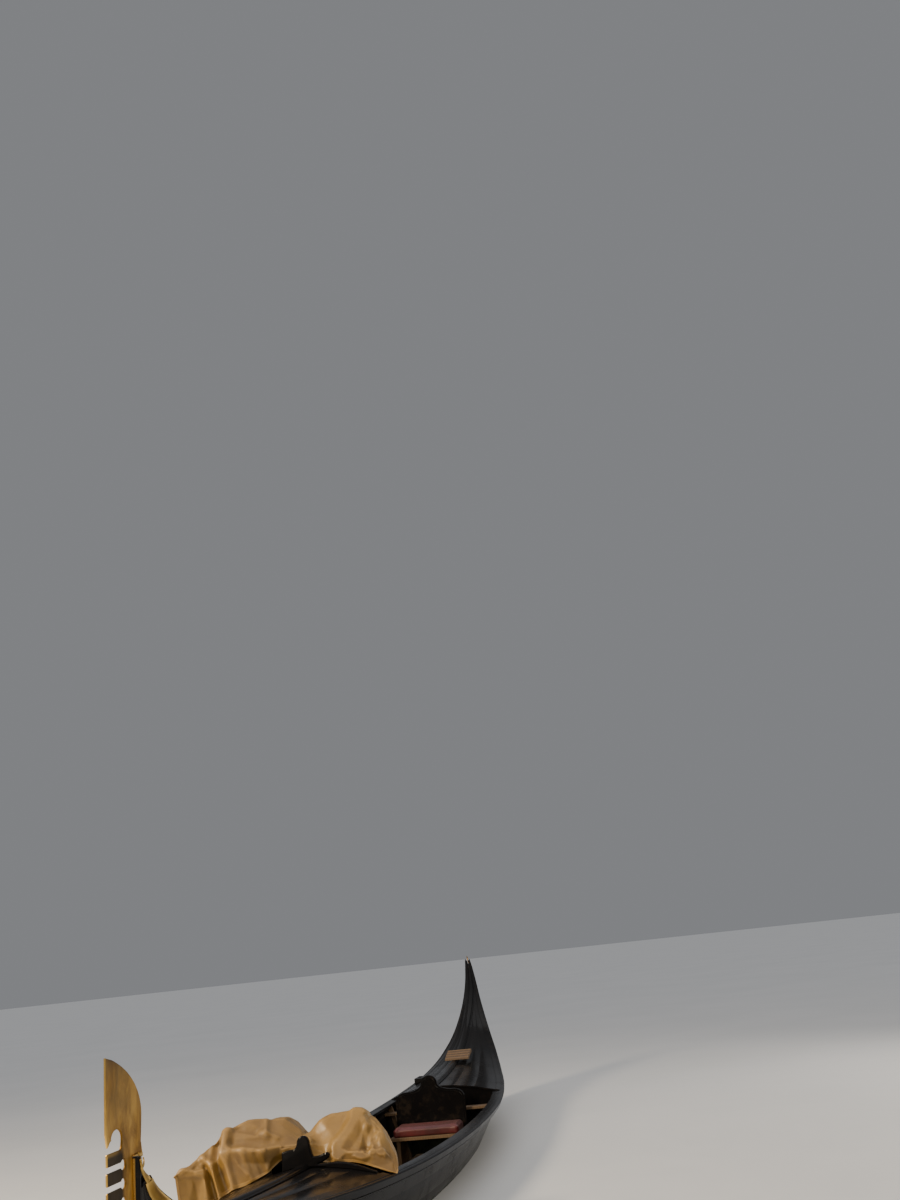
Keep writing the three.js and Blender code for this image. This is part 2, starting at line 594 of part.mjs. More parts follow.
function bowIron() {
  const outline = new THREE.Shape();
  const at = (aft, down) => [IRON.frontX - aft, IRON.top - down];
  outline.moveTo(...at(0, 0));
  outline.lineTo(...at(3, IRON.spike - 62));
  outline.lineTo(...at(20, IRON.spike));
  outline.quadraticCurveTo(...at(52, IRON.spike - 26), ...at(56, IRON.archTop + 44));
  outline.absellipse(...at(112, IRON.archTop + 46), 56, 46, 0, Math.PI, false);
  outline.quadraticCurveTo(...at(170, IRON.firstTooth - 10), ...at(150, IRON.firstTooth));
  const halfSlot = (IRON.pitch - IRON.toothHigh) / 2;
  const open = Math.asin(halfSlot / IRON.root);
  const rootAt = (i) => stemFront(IRON.top - IRON.firstTooth - i * IRON.pitch) + IRON.band + IRON.root - 8;
  for (let i = 0; i < IRON.teeth; i++) {
    const z = IRON.top - IRON.firstTooth - i * IRON.pitch;
    const tip = rootAt(i) + IRON.toothLong;
    outline.lineTo(tip - 4, z);
    outline.lineTo(tip, z - 6);
    outline.lineTo(tip - 2, z - IRON.toothHigh + 6);
    outline.lineTo(tip - 6, z - IRON.toothHigh);
    if (i < IRON.teeth - 1) outline.absarc(rootAt(i), z - IRON.toothHigh - halfSlot, IRON.root, open, 2 * Math.PI - open, false);
  }
  // The lower end, drawn down into a strap along the stem's front
  const last = IRON.top - IRON.firstTooth - (IRON.teeth - 1) * IRON.pitch - IRON.toothHigh;
  outline.quadraticCurveTo(stemFront(last) + 70, last - 10, stemFront(last - 80) + 34, last - 80);
  const low = [0.35, 0.7].map((t) => lerp(last - 80, IRON.lowest, t));
  for (const z of low) outline.lineTo(stemFront(z) + 20, z);
  outline.lineTo(stemFront(IRON.lowest) + 10, IRON.lowest);
  outline.lineTo(stemFront(IRON.lowest + 4) + 1.5, IRON.lowest + 4);
  const stemHeights = STEM_ROWS.map((s) => alongBottom(s, BOTTOM, 0)[2]);
  for (const z of stemHeights.filter((z) => z > IRON.lowest + 20 && z < STEM_HEAD - 10).reverse()) outline.lineTo(stemFront(z) + 1.5, z);
  outline.lineTo(stemFront(STEM_HEAD) + 1.5, STEM_HEAD + 6);
  // The tongue aft over the stem's head
  outline.lineTo(5060, STEM_HEAD + 7);
  outline.quadraticCurveTo(5052, STEM_HEAD + 2, 5046, STEM_HEAD - 16);
  outline.quadraticCurveTo(5046, STEM_HEAD + 24, 5060, STEM_HEAD + 60);
  // The blade's round back
  outline.quadraticCurveTo(...at(382, 380), ...at(386, 300));
  outline.bezierCurveTo(...at(382, 205), ...at(300, 92), ...at(70, 16));
  const plate = new THREE.ExtrudeGeometry(outline, { depth: IRON.thick, bevelEnabled: false, curveSegments: 7 });
  plate.rotateX(Math.PI / 2).translate(0, IRON.thick / 2, 0);
  return plate;
}
add("bow_iron", "bright_metal", bowIron());

// The flat strap that runs from the bow iron down over the ridge of the foredeck
function ridgeStrap() {
  const rows = sheerStations(FOREDECK_FRONT - 12, 4300);
  return loft(
    rows.map((s) => {
      const z = s.sheerZ + deckRise(s, 0) + DECK + RIDGE_HIGH + 2 * GAP;
      const half = Math.min(24, 0.5 * Math.min(RIDGE_HALF, 0.45 * s.sheerStar));
      return [[s.sheerX, half, z], [s.sheerX, half, z + 5], [s.sheerX, -half, z + 5], [s.sheerX, -half, z]];
    }),
  );
}
add("bow_ridge_strap", "bright_metal", ridgeStrap());

// How far the middle of the stern post stands off the centreline at a height
function sternLean(z) {
  const rows = STATIONS.slice(16 * PER_SPAN);
  const i = Math.max(1, Math.min(rows.findIndex((s) => s.chineZ > z) + 1 || rows.length, rows.length - 1));
  const [a, b] = [rows[i - 1], rows[i]];
  const middle = (s) => (s.chinePort - s.chineStar) / 2;
  return lerp(middle(a), middle(b), (z - a.chineZ) / (b.chineZ - a.chineZ));
}

// Stern iron: a slender strap up the back of the stern post that ends in a small curl over the tip
function sternIron() {
  const up = STATIONS.slice(17 * PER_SPAN).map((s) => alongBottom(s, BOTTOM + 0.5, 0));
  const [x, , z] = up[up.length - 1];
  const outline = new THREE.Shape();
  outline.moveTo(up[0][0], up[0][2]);
  for (const [px, , pz] of up.slice(1)) outline.lineTo(px, pz);
  outline.lineTo(x + 1, z + 50);
  outline.quadraticCurveTo(x + 2, z + 90, x - 5, z + 120);
  outline.quadraticCurveTo(x - 8, z + 138, x + 8, z + 142);
  outline.quadraticCurveTo(x - 2, z + 152, x - 18, z + 144);
  outline.quadraticCurveTo(x - 28, z + 134, x - 22, z + 116);
  outline.quadraticCurveTo(x - 12, z + 90, x - 11, z + 20);
  for (const [px, , pz] of up.slice(1, -1).reverse()) outline.lineTo(px - 11, pz);
  outline.lineTo(up[0][0] - 4, up[0][2] - 4);
  const strap = new THREE.ExtrudeGeometry(outline, { depth: 10, bevelEnabled: false, curveSegments: 8 });
  strap.rotateX(Math.PI / 2).translate(0, 5, 0);
  // The stern leans to starboard towards its tip, and the strap with it.
  const points = strap.attributes.position;
  for (let i = 0; i < points.count; i++) points.setY(i, points.getY(i) + sternLean(points.getZ(i)));
  return strap;
}
add("stern_iron", "bright_metal", sternIron());

// The oarlock's socket block on the starboard side of the aft deck; the oarlock itself is ashore.
const SOCKET = { x: [-2960, -2700], high: 70, slot: [120, 46], inset: 14 };
function oarlockBlock() {
  const y = SOCKET.inset - atSheer(SOCKET.x[0]).sheerStar;
  const middle = (SOCKET.x[0] + SOCKET.x[1]) / 2;
  const deckEdge = atSheer(middle).sheerZ + DECK;
  const top = deckEdge + SOCKET.high;
  const body = block(SOCKET.x, [y, y + 90], [deckEdge - 30, top]);
  const slot = block([middle - SOCKET.slot[0] / 2, middle + SOCKET.slot[0] / 2], [y + 22, y + 22 + SOCKET.slot[1]], [top - 30, top + 10]);
  const pieces = body.subtract(slot).subtract(aftDeckSolid.translate([0, 0, GAP])).decompose();
  return pieces.sort((a, b) => b.boundingBox().max[2] - a.boundingBox().max[2])[0];
}
add("oarlock_block", "hull_black", oarlockBlock());

// The rower's slanted foot rest on the aft deck
function footRest() {
  const x = -3350;
  const s = atSheer(x);
  const z = s.sheerZ + deckRise(s, 0) + DECK + RIDGE_HIGH + 2 * GAP;
  const outline = new THREE.Shape([new THREE.Vector2(x, z), new THREE.Vector2(x - 240, z + 60), new THREE.Vector2(x - 240, z + 96), new THREE.Vector2(x, z + 18)]);
  const wedge = new THREE.ExtrudeGeometry(outline, { depth: 300, bevelEnabled: false });
  wedge.rotateX(Math.PI / 2).translate(0, 190, 0);
  return toSolid(wedge).subtract(aftDeckSolid.translate([0, 0, GAP])).subtract(
    toSolid(ridge(AFT_DECK_END, AFT_DECK_BACK + 40)).translate([0, 0, GAP]));
}
add("foot_rest", "inner_wood", footRest());

// Canvas cover, thrown askew over the two chairs and the bow end of the cockpit. Each row of points
// runs from the port edge to the starboard edge; the first row is the front hem and the last the aft.
const COVER_THICK = 9;
const COVER_ROWS = [
  [
    [2415, 665, 475], [2412, 600, 492], [2410, 520, 520], [2405, 430, 548], [2400, 340, 568], [2400, 220, 578], [2410, 90, 592], [2430, -50, 660],
    [2442, -196, 620], [2535, -262, 562], [2590, -406, 503], [2600, -520, 476], [2610, -640, 415], [2640, -760, 380], [2670, -880, 380],
  ],
  [
    [2408, 668, 487], [2385, 625, 545], [2360, 540, 612], [2345, 450, 662], [2335, 350, 700], [2335, 210, 705], [2360, 70, 700], [2420, -60, 715],
    [2448, -196, 712], [2530, -300, 705], [2550, -430, 718], [2560, -600, 716], [2600, -700, 608], [2650, -800, 602], [2690, -900, 598],
  ],
  [
    [2395, 672, 494], [2330, 645, 578], [2270, 560, 700], [2200, 470, 795], [2150, 350, 866], [2140, 200, 874], [2170, 70, 832], [2240, -62, 765],
    [2270, -215, 878], [2300, -340, 896], [2360, -480, 890], [2440, -600, 845], [2520, -720, 748], [2620, -840, 655], [2700, -905, 606],
  ],
  [
    [2200, 604, 490], [2150, 570, 590], [2100, 505, 700], [2060, 430, 780], [2030, 330, 838], [2020, 200, 846], [2040, 60, 810], [2080, -80, 752],
    [2110, -220, 850], [2130, -340, 862], [2170, -450, 850], [2250, -570, 790], [2330, -670, 680], [2420, -740, 540], [2480, -790, 400],
  ],
  [
    [1800, 455, 440], [1780, 420, 490], [1760, 380, 520], [1740, 330, 545], [1720, 280, 560], [1715, 180, 565], [1720, 60, 560], [1740, -80, 560],
    [1760, -200, 570], [1790, -310, 575], [1840, -400, 565], [1900, -478, 520], [1980, -570, 470], [2060, -604, 340], [2120, -626, 210],
  ],
  [
    [1500, 390, 160], [1480, 350, 150], [1470, 310, 140], [1460, 260, 140], [1460, 210, 140], [1460, 120, 140], [1465, 30, 145], [1480, -80, 160],
    [1500, -180, 190], [1530, -280, 250], [1580, -360, 350], [1620, -452, 486], [1660, -588, 462], [1720, -622, 330], [1780, -640, 190],
  ],
  [
    [1180, 300, -112], [1170, 280, -112], [1160, 240, -112], [1160, 200, -112], [1160, 150, -112], [1160, 80, -112], [1165, 0, -110], [1180, -80, -100],
    [1200, -170, -50], [1230, -260, 60], [1270, -350, 250], [1310, -448, 470], [1350, -606, 456], [1400, -634, 330], [1450, -650, 200],
  ],
];

// A closed shell between a grid of points and the same grid moved inwards along its normals
function shell(grid, thick) {
  const [rows, columns] = [grid.length, grid[0].length];
  const at = (i, j) => new THREE.Vector3(...grid[Math.min(Math.max(i, 0), rows - 1)][Math.min(Math.max(j, 0), columns - 1)]);
  const inner = grid.map((row, i) =>
    row.map((_, j) => {
      const along = at(i + 1, j).sub(at(i - 1, j));
      const across = at(i, j + 1).sub(at(i, j - 1));
      const normal = along.cross(across).normalize();
      return at(i, j).addScaledVector(normal, -thick).toArray();
    }),
  );
  const points = [...grid.flat(), ...inner.flat()];
  const below = rows * columns;
  const index = [];
  const quad = (a, b, c, d) => index.push(a, b, c, a, c, d);
  for (let i = 0; i + 1 < rows; i++)
    for (let j = 0; j + 1 < columns; j++) {
      const a = i * columns + j;
      quad(a, a + columns, a + columns + 1, a + 1);
      quad(a + below, a + 1 + below, a + columns + 1 + below, a + columns + below);
    }
  for (let i = 0; i + 1 < rows; i++) {
    const [a, b] = [i * columns, i * columns + columns - 1];
    quad(a, a + below, a + columns + below, a + columns);
    quad(b, b + columns, b + columns + below, b + below);
  }
  for (let j = 0; j + 1 < columns; j++) {
    const [a, b] = [j, (rows - 1) * columns + j];
    quad(a, a + 1, a + 1 + below, a + below);
    quad(b, b + below, b + 1 + below, b + 1);
  }
  if (signedVolume(points, index) < 0) index.reverse();
  return bufferOf(points, index);
}
// Let down until it rests on the port rub rail
const COVER_DROP = 2.06;
add("cockpit_cover", "cover_canvas", shell(COVER_ROWS, COVER_THICK).translate(0, 0, -COVER_DROP));

export default boat;
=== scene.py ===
# A moored gondola: lacquered hull, brushed bow iron, canvas cover, wood and leather inside.
# +X towards the bow, +Y to port, +Z up; the origin lies on the waterline amidships.
# The scene is in metres. Shapes are worked out in millimetres and turned into metres as they become meshes.
import math
import random
import bmesh
import bpy
import numpy
from mathutils import Matrix, Vector, noise
from mathutils.geometry import delaunay_2d_cdt, intersect_line_line_2d


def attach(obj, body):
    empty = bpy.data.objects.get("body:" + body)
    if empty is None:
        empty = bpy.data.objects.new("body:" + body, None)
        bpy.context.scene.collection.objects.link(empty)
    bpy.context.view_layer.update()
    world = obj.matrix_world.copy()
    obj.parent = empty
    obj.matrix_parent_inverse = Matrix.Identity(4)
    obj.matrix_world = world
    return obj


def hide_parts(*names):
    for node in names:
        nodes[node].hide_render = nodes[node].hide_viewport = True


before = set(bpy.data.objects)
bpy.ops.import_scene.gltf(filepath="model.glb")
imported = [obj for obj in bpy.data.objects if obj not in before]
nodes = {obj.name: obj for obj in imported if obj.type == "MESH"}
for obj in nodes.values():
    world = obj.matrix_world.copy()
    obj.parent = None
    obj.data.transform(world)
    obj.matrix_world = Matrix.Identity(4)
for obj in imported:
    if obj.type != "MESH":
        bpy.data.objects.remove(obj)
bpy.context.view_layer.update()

MM = 0.001
scene = bpy.context.scene

# Camera, fitted to the bow iron, the cover, the crest board and the stern's tip

FOCAL_PX, LONG_SIDE_PX, SENSOR = 1086.85, 1200, 36
CAMERA_PLACE = (10.8218, 2.8325, 1.9082)
CAMERA_TURNS = (9.08, 18.01, -6.14)


def make_camera():
    yaw, pitch, roll = (math.radians(degrees) for degrees in CAMERA_TURNS)
    data = bpy.data.cameras.new("camera")
    data.sensor_width = SENSOR
    data.lens = FOCAL_PX / LONG_SIDE_PX * SENSOR
    data.clip_start, data.clip_end = 0.05, 500
    camera = bpy.data.objects.new("camera", data)
    scene.collection.objects.link(camera)
    look = Vector((-math.cos(yaw) * math.cos(pitch), -math.sin(yaw) * math.cos(pitch), math.sin(pitch)))
    level = look.cross(Vector((0, 0, 1))).normalized()
    upright = level.cross(look)
    right = level * math.cos(roll) + upright * math.sin(roll)
    up = upright * math.cos(roll) - level * math.sin(roll)
    matrix = Matrix((right, up, -look)).transposed().to_4x4()
    matrix.translation = CAMERA_PLACE
    camera.matrix_world = matrix
    scene.camera = camera


make_camera()

# Materials


class Shader:
    """A principled shader under construction, with procedural nodes in the boat's own coordinates."""

    def __init__(self, name, **sockets):
        self.material = bpy.data.materials.new(name)
        self.material.use_nodes = True
        self.tree = self.material.node_tree
        self.tree.nodes.clear()
        self.surface = self.tree.nodes.new("ShaderNodeBsdfPrincipled")
        for key, value in sockets.items():
            self.surface.inputs[key.replace("_", " ")].default_value = value
        out = self.tree.nodes.new("ShaderNodeOutputMaterial")
        self.tree.links.new(self.surface.outputs[0], out.inputs[0])
        self.coords = self.node("TexCoord", {}, "Object")
        self.geometry = self.tree.nodes.new("ShaderNodeNewGeometry").outputs

    def node(self, kind, inputs, output=0, **settings):
        """One output of a new node, whose inputs are linked or set to plain values."""
        node = self.tree.nodes.new("ShaderNode" + kind)
        for key, value in settings.items():
            setattr(node, key, value)
        for key, value in inputs.items():
            if isinstance(value, bpy.types.NodeSocket):
                self.tree.links.new(value, node.inputs[key])
            else:
                node.inputs[key].default_value = value
        return node.outputs[output]

    def scaled(self, *scale):
        return self.node("Mapping", {"Vector": self.coords, "Scale": scale})

    def noise(self, scale, detail=4, rough=0.5, warp=0.0, vector=None):
        inputs = {"Vector": vector or self.coords, "Scale": scale, "Detail": detail, "Roughness": rough}
        return self.node("TexNoise", inputs | {"Distortion": warp}, "Fac")

    def cells(self, scale, feature):
        return self.node("TexVoronoi", {"Vector": self.coords, "Scale": scale}, "Distance", feature=feature)

    def waves(self, scale, direction, warp, vector=None):
        inputs = {"Vector": vector or self.coords, "Scale": scale, "Distortion": warp}
        return self.node("TexWave", inputs, "Fac", bands_direction=direction)

    def ramp(self, factor, *stops):
        """Values or colours at places along a factor from 0 to 1."""
        node = self.tree.nodes.new("ShaderNodeValToRGB")
        self.tree.links.new(factor, node.inputs[0])
        elements = node.color_ramp.elements
        while len(elements) < len(stops):
            elements.new(0.5)
        for element, (place, color) in zip(elements, stops):
            element.position = place
            element.color = (*color, 1) if hasattr(color, "__len__") else (color, color, color, 1)
        return node.outputs[0]

    def span(self, value, start, end, low=0.0, high=1.0):
        """Goes from low to high while a value goes from start to end."""
        return self.node("MapRange", {0: value, 1: start, 2: end, 3: low, 4: high})

    def math(self, operation, a, b):
        return self.node("Math", {0: a, 1: b}, operation=operation)

    def times(self, a, b):
        return self.math("MULTIPLY", a, b)

    def over(self, base, *layers):
        """A colour with others laid over it, each by its own share."""
        for share, color in layers:
            base = self.node("Mix", {0: share, 6: base, 7: (*color, 1)}, 2, data_type="RGBA")
        return base

    def share(self, vector, axis):
        return self.node("SeparateXYZ", {0: vector}, axis)

    def facing(self, axis):
        return self.share(self.geometry["Normal"], axis)

    def edges(self, low, high):
        return self.span(self.geometry["Pointiness"], low, high)

    def finish(self, color, rough, *bumps):
        """Links colour, roughness and bumps; each bump has its height, strength and distance in metres."""
        found = {"Base Color": color, "Roughness": rough}
        for height, strength, distance in bumps:
            inputs = {"Height": height, "Strength": strength, "Distance": distance}
            if "Normal" in found:
                inputs["Normal"] = found["Normal"]
            found["Normal"] = self.node("Bump", inputs)
        for key, socket in found.items():
            self.tree.links.new(socket, self.surface.inputs[key])
        return self.material


# Height of the green film over the waterline, in metres
FILM_TOP = 0.055


def lacquer():
    s = Shader("black_lacquer", Coat_Weight=0.08, Coat_Roughness=0.06, IOR=1.14)
    dust = s.times(s.span(s.facing("Z"), 0.55, 1.0), s.span(s.noise(60, 3, 0.7), 0.5, 0.85, 0.0, 0.09))
    worn = s.times(s.edges(0.52, 0.62), s.span(s.noise(14, 4, 0.6), 0.5, 0.68, 0.0, 0.7))
    wet = s.span(s.share(s.coords, "Z"), 0.0, FILM_TOP, 1.0, 0.0)
    film = s.times(wet, s.span(s.noise(16, 6, 0.65), 0.35, 0.65, 0.2, 0.9))
    base = s.ramp(s.noise(1.3, 5, 0.55), (0.3, (0.003, 0.003, 0.0035)), (0.7, (0.007, 0.0065, 0.007)))
    base = s.over(base, (dust, (0.09, 0.085, 0.075)), (worn, (0.035, 0.025, 0.018)))
    base = s.over(base, (film, (0.028, 0.032, 0.018)))
    rough = s.ramp(s.noise(5, 7, 0.62, 0.4), (0.3, 0.16), (0.55, 0.24), (0.8, 0.38))
    rough = s.math("MAXIMUM", rough, s.times(film, 0.7))
    ripples = s.noise(2.4, 2, 0.4)
    brushed = s.noise(1, 5, 0.6, 0.2, s.scaled(1.2, 45, 45))
    grit = s.noise(260, 2)
    return s.finish(base, rough, (ripples, 0.12, 0.01), (brushed, 0.10, 0.0015), (grit, 0.03, 0.0006))


GOLD_TONES = (
    (0.28, (0.12, 0.055, 0.009)),
    (0.44, (0.30, 0.150, 0.026)),
    (0.58, (0.50, 0.275, 0.052)),
    (0.78, (0.80, 0.49, 0.12)),
)
# Edge colour: partly polish where the metal wears, partly a painted highlight along lit edges
GOLD_EDGE_WEAR_AND_HIGHLIGHT = (1.3, 0.88, 0.28)


def golden_metal(name, tone, blade=None):
    """Weathered plate metal with fine upright brushing.

    A bow iron also has painted shade: its teeth's sides are darkened, and its blade darkens towards the top
    between two heights in metres.
    """
    s = Shader(name, Metallic=1.0, Anisotropic=0.35)
    patina = s.noise(10, 6, 0.6, 0.8, s.scaled(1, 1, 0.4))
    base = s.ramp(patina, *((place, [tone * part for part in color]) for place, color in GOLD_TONES))
    stains = s.span(s.noise(2.6, 5, 0.6, 1.4, s.scaled(1, 1, 0.55)), 0.52, 0.72, 0.0, 0.55)
    base = s.over(base, (stains, (0.14, 0.065, 0.018)))
    height = s.share(s.coords, "Z")
    if blade:
        # Painted shade: the blade's colour darkens towards its top between the two given heights
        base = s.over(base, (s.span(height, *blade, 0.0, 0.8), (0.07, 0.04, 0.02)))
    # Convex edges brightened: partly edge wear, partly a painted highlight
    base = s.over(base, (s.edges(0.52, 0.6), [tone * part for part in GOLD_EDGE_WEAR_AND_HIGHLIGHT]))
    if blade:
        # Painted shade: the teeth's sides are darkened almost to black; their tips and the round roots
        # between them are left bright
        forward = s.span(s.share(s.coords, "X"), 5.245, 5.27, 0.0, 0.95)
        low = s.span(height, 1.14, 1.18, 1.0, 0.0)
        sideways = s.span(s.facing("X"), 0.12, 0.3, 1.0, 0.0)
        base = s.over(base, (s.times(s.times(forward, low), sideways), (0.010, 0.007, 0.004)))
    streaks = s.noise(1, 6, 0.7, 0.1, s.scaled(170, 170, 2.2))
    rough = s.span(s.noise(11, 6, 0.65, 0.5, s.scaled(1, 1, 0.3)), 0.3, 0.7, 0.24, 0.46)
    rough = s.math("ADD", rough, s.times(streaks, 0.08))
    dents, grit = s.noise(9, 3, 0.5), s.noise(420, 2)
    return s.finish(base, rough, (dents, 0.25, 0.006), (streaks, 0.22, 0.0008), (grit, 0.08, 0.0004))


def brass():
    s = Shader("brass_fittings", Metallic=1.0)
    tones = ((0.3, (0.28, 0.17, 0.06)), (0.5, (0.58, 0.40, 0.15)), (0.75, (0.74, 0.55, 0.25)))
    base = s.over(s.ramp(s.noise(38, 5, 0.6), *tones), (s.edges(0.52, 0.62), (0.92, 0.74, 0.40)))
    rough = s.span(s.noise(70, 5, 0.6), 0.3, 0.7, 0.2, 0.42)
    return s.finish(base, rough, (s.noise(300, 3), 0.12, 0.0006))


def plank_wood():
    s = Shader("oiled_wood", Coat_Weight=0.15, Coat_Roughness=0.3)
    grain = s.noise(1, 8, 0.62, 1.6, s.scaled(3.2, 26, 26))
    rings = s.waves(2.0, "Y", 9, s.scaled(0.35, 6, 6))
    pattern = s.math("ADD", s.times(grain, 0.7), s.times(rings, 0.3))
    tones = ((0.25, (0.020, 0.010, 0.005)), (0.5, (0.060, 0.031, 0.014)), (0.75, (0.12, 0.066, 0.030)))
    boards = s.span(s.noise(2.2, 2, 0.5, 0.0, s.scaled(0.2, 4, 4)), 0.4, 0.6, 0.0, 0.35)
    grime = s.span(s.noise(6, 6, 0.7), 0.5, 0.8, 0.0, 0.6)
    worn = s.times(s.edges(0.52, 0.6), 0.6)
    base = s.over(s.ramp(pattern, *tones), (boards, (0.08, 0.045, 0.022)), (grime, (0.035, 0.026, 0.018)))
    base = s.over(base, (worn, (0.22, 0.14, 0.07)))
    rough = s.span(s.noise(12, 6, 0.6), 0.3, 0.7, 0.42, 0.68)
    return s.finish(base, rough, (grain, 0.35, 0.0016), (s.noise(180, 3), 0.12, 0.0008))


def leather():
    s = Shader("oxblood_leather", Coat_Weight=0.12, Coat_Roughness=0.25, Sheen_Weight=0.05)
    base = s.ramp(s.noise(5, 5, 0.6), (0.3, (0.040, 0.003, 0.004)), (0.7, (0.095, 0.008, 0.009)))
    base = s.over(base, (s.times(s.edges(0.51, 0.57), 0.5), (0.17, 0.035, 0.025)))
    rough = s.span(s.noise(22, 6, 0.6), 0.3, 0.7, 0.34, 0.55)
    wrinkles = s.noise(26, 5, 0.6, 0.8)
    grain = s.span(s.cells(420, "DISTANCE_TO_EDGE"), 0.0, 0.25)
    return s.finish(base, rough, (wrinkles, 0.25, 0.003), (grain, 0.35, 0.0006))


def canvas():
    s = Shader("coated_canvas", Sheen_Weight=0.04, Sheen_Roughness=0.5, Coat_Weight=0.07, Coat_Roughness=0.3)
    weave = s.times(s.waves(330, "X", 0.6), s.waves(330, "Y", 0.6))
    tones = ((0.28, (0.130, 0.068, 0.010)), (0.5, (0.182, 0.098, 0.015)), (0.72, (0.236, 0.132, 0.022)))
    blotch = s.span(s.noise(4.5, 5, 0.55, 0.6), 0.5, 0.64, 0.0, 0.62)
    drops = s.span(s.cells(26, "SMOOTH_F1"), 0.05, 0.16, 0.35, 0.0)
    rubbed = s.times(s.edges(0.505, 0.56), 0.55)
    base = s.ramp(s.noise(1.6, 5, 0.6, 0.6), *tones)
    base = s.over(base, (blotch, (0.100, 0.052, 0.011)), (drops, (0.11, 0.055, 0.012)))
    base = s.over(base, (rubbed, (0.40, 0.23, 0.065)), (s.times(weave, 0.10), (0.30, 0.17, 0.045)))
    rough = s.ramp(s.noise(4.5, 6, 0.6, 0.7), (0.3, 0.36), (0.5, 0.52), (0.75, 0.68))
    return s.finish(base, rough, (s.noise(30, 5, 0.62, 1.0), 0.09, 0.003), (weave, 0.18, 0.0005))


def floor_paint():
    s = Shader("pale_floor")
    base = s.ramp(s.noise(0.35, 3, 0.5), (0.3, (0.60, 0.605, 0.61)), (0.7, (0.64, 0.64, 0.645)))
    return s.finish(base, s.span(s.noise(3, 3), 0.3, 0.7, 0.5, 0.58))


BLACK = lacquer()
IRON_GOLD = golden_metal("bow_iron_metal", 0.72, blade=(1.46, 1.59))
STRAP_GOLD = golden_metal("strap_metal", 0.42)
BRASS = brass()
WOOD = plank_wood()
LEATHER = leather()
CANVAS = canvas()

# Making pieces

EDGE_ANGLE = math.radians(35)
WELD_REACH = 0.05 * MM


def mark_sharp(mesh, degrees):
    """Smooth shading, with hard edges where faces turn by more than an angle."""
    bm = bmesh.new()
    bm.from_mesh(mesh)
    bmesh.ops.recalc_face_normals(bm, faces=bm.faces)
    limit = math.radians(degrees)
    for face in bm.faces:
        face.smooth = True
    for edge in bm.edges:
        edge.smooth = len(edge.link_faces) == 2 and edge.calc_face_angle(0) < limit
    bm.to_mesh(mesh)
    bm.free()


def bevel(obj, width):
    """Rounds an object's edges by a width in millimetres."""
    modifier = obj.modifiers.new("edges", "BEVEL")
    modifier.width = width * MM
    modifier.segments = 2
    modifier.limit_method = "ANGLE"
    modifier.angle_limit = EDGE_ANGLE
    modifier.harden_normals = True
    modifier.use_clamp_overlap = True


def piece(name, shape, material, stands_for=(), body="boat", sharp=35, edge=0.0):
    """A new piece from points in millimetres and faces, riding on a body and standing for CAD nodes."""
    points, faces = shape
    mesh = bpy.data.meshes.new(name)
    mesh.from_pydata([tuple(v * MM for v in p) for p in points], [], faces)
    mesh.validate()
    mark_sharp(mesh, sharp)
    mesh.materials.append(material)
    obj = bpy.data.objects.new(name, mesh)
    scene.collection.objects.link(obj)
    if edge:
        bevel(obj, edge)
    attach(obj, body)
    if stands_for:
        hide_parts(*stands_for)
    return obj


def dress(names, material, edge):
    """Gives CAD nodes a finish, flat shading and a small bevel on their edges."""
    for name in names:
        obj = nodes[name]
        obj.data.materials.clear()
        obj.data.materials.append(material)
        for polygon in obj.data.polygons:
            polygon.use_smooth = False
            polygon.material_index = 0
        weld = obj.modifiers.new("weld", "WELD")
        weld.merge_threshold = WELD_REACH
        bevel(obj, edge)


def join(parts):
    """One list of points and faces from several."""
    points, faces = [], []
    for more_points, more_faces in parts:
        start = len(points)
        points.extend(more_points)
        faces.extend(tuple(k + start for k in face) for face in more_faces)
    return points, faces


def skin(rings, loop=False):
    """Points and faces of a skin through rings of points, capped at both ends or closed into a loop."""
    count = len(rings[0])
    firsts = [i * count for i in range(len(rings))]
    following = firsts[1:] + firsts[:1] if loop else firsts[1:]
    faces = []
    for a, b in zip(firsts, following):
        faces += [(a + j, a + (j + 1) % count, b + (j + 1) % count, b + j) for j in range(count)]
    if not loop:
        faces += [tuple(reversed(range(count))), tuple(range(firsts[-1], firsts[-1] + count))]
    return [p for ring in rings for p in ring], faces


def mirrored(half):
    """A half section from its foot to near the middle, and its mirror image back down."""
    return [*half, *((-across, up) for across, up in reversed(half))]


def through(p, q, r, s, t):
    """A smooth curve from q to r, a share t of the way."""
    return q + 0.5 * t * (r - p + t * (2 * p - 5 * q + 4 * r - s + t * (3 * (q - r) + s - p)))


# The hull's lines, as in the part's source: sheer x, z, port, starboard, then the same for the chine

LINES = [
    [5052, 985, 42, 42, 5129, 958, 38, 38],
    [4985, 910, 56, 55, 5122, 820, 38, 38],
    [4860, 812, 96, 87, 5084, 675, 39, 39],
    [4665, 692, 156, 133, 4995, 510, 40, 40],
    [4400, 616, 232, 190, 4810, 330, 43, 43],
    [4000, 567, 330, 258, 4400, 130, 80, 74],
    [3400, 515, 455, 345, 3700, -30, 175, 152],
    [2600, 462, 600, 448, 2750, -135, 300, 255],
    [1600, 420, 728, 532, 1650, -198, 402, 338],
    [500, 403, 815, 575, 500, -220, 455, 380],
    [-600, 400, 833, 570, -600, -218, 458, 375],
    [-1600, 412, 797, 530, -1650, -195, 420, 330],
    [-2500, 460, 694, 440, -2650, -132, 334, 246],
    [-3200, 540, 568, 337, -3500, -25, 222, 155],
    [-3800, 668, 440, 245, -4250, 150, 104, 78],
    [-4300, 855, 312, 168, -4800, 400, 46, 42],
    [-4700, 1074, 199, 121, -5120, 680, 38, 38],
    [-5000, 1310, 106, 92, -5310, 970, 36, 36],
    [-5200, 1526, 42, 82, -5388, 1240, 34, 36],
    [-5325, 1708, -10, 86, -5414, 1510, 16, 52],
    [-5390, 1815, -46, 90, -5414, 1725, -30, 78],
]
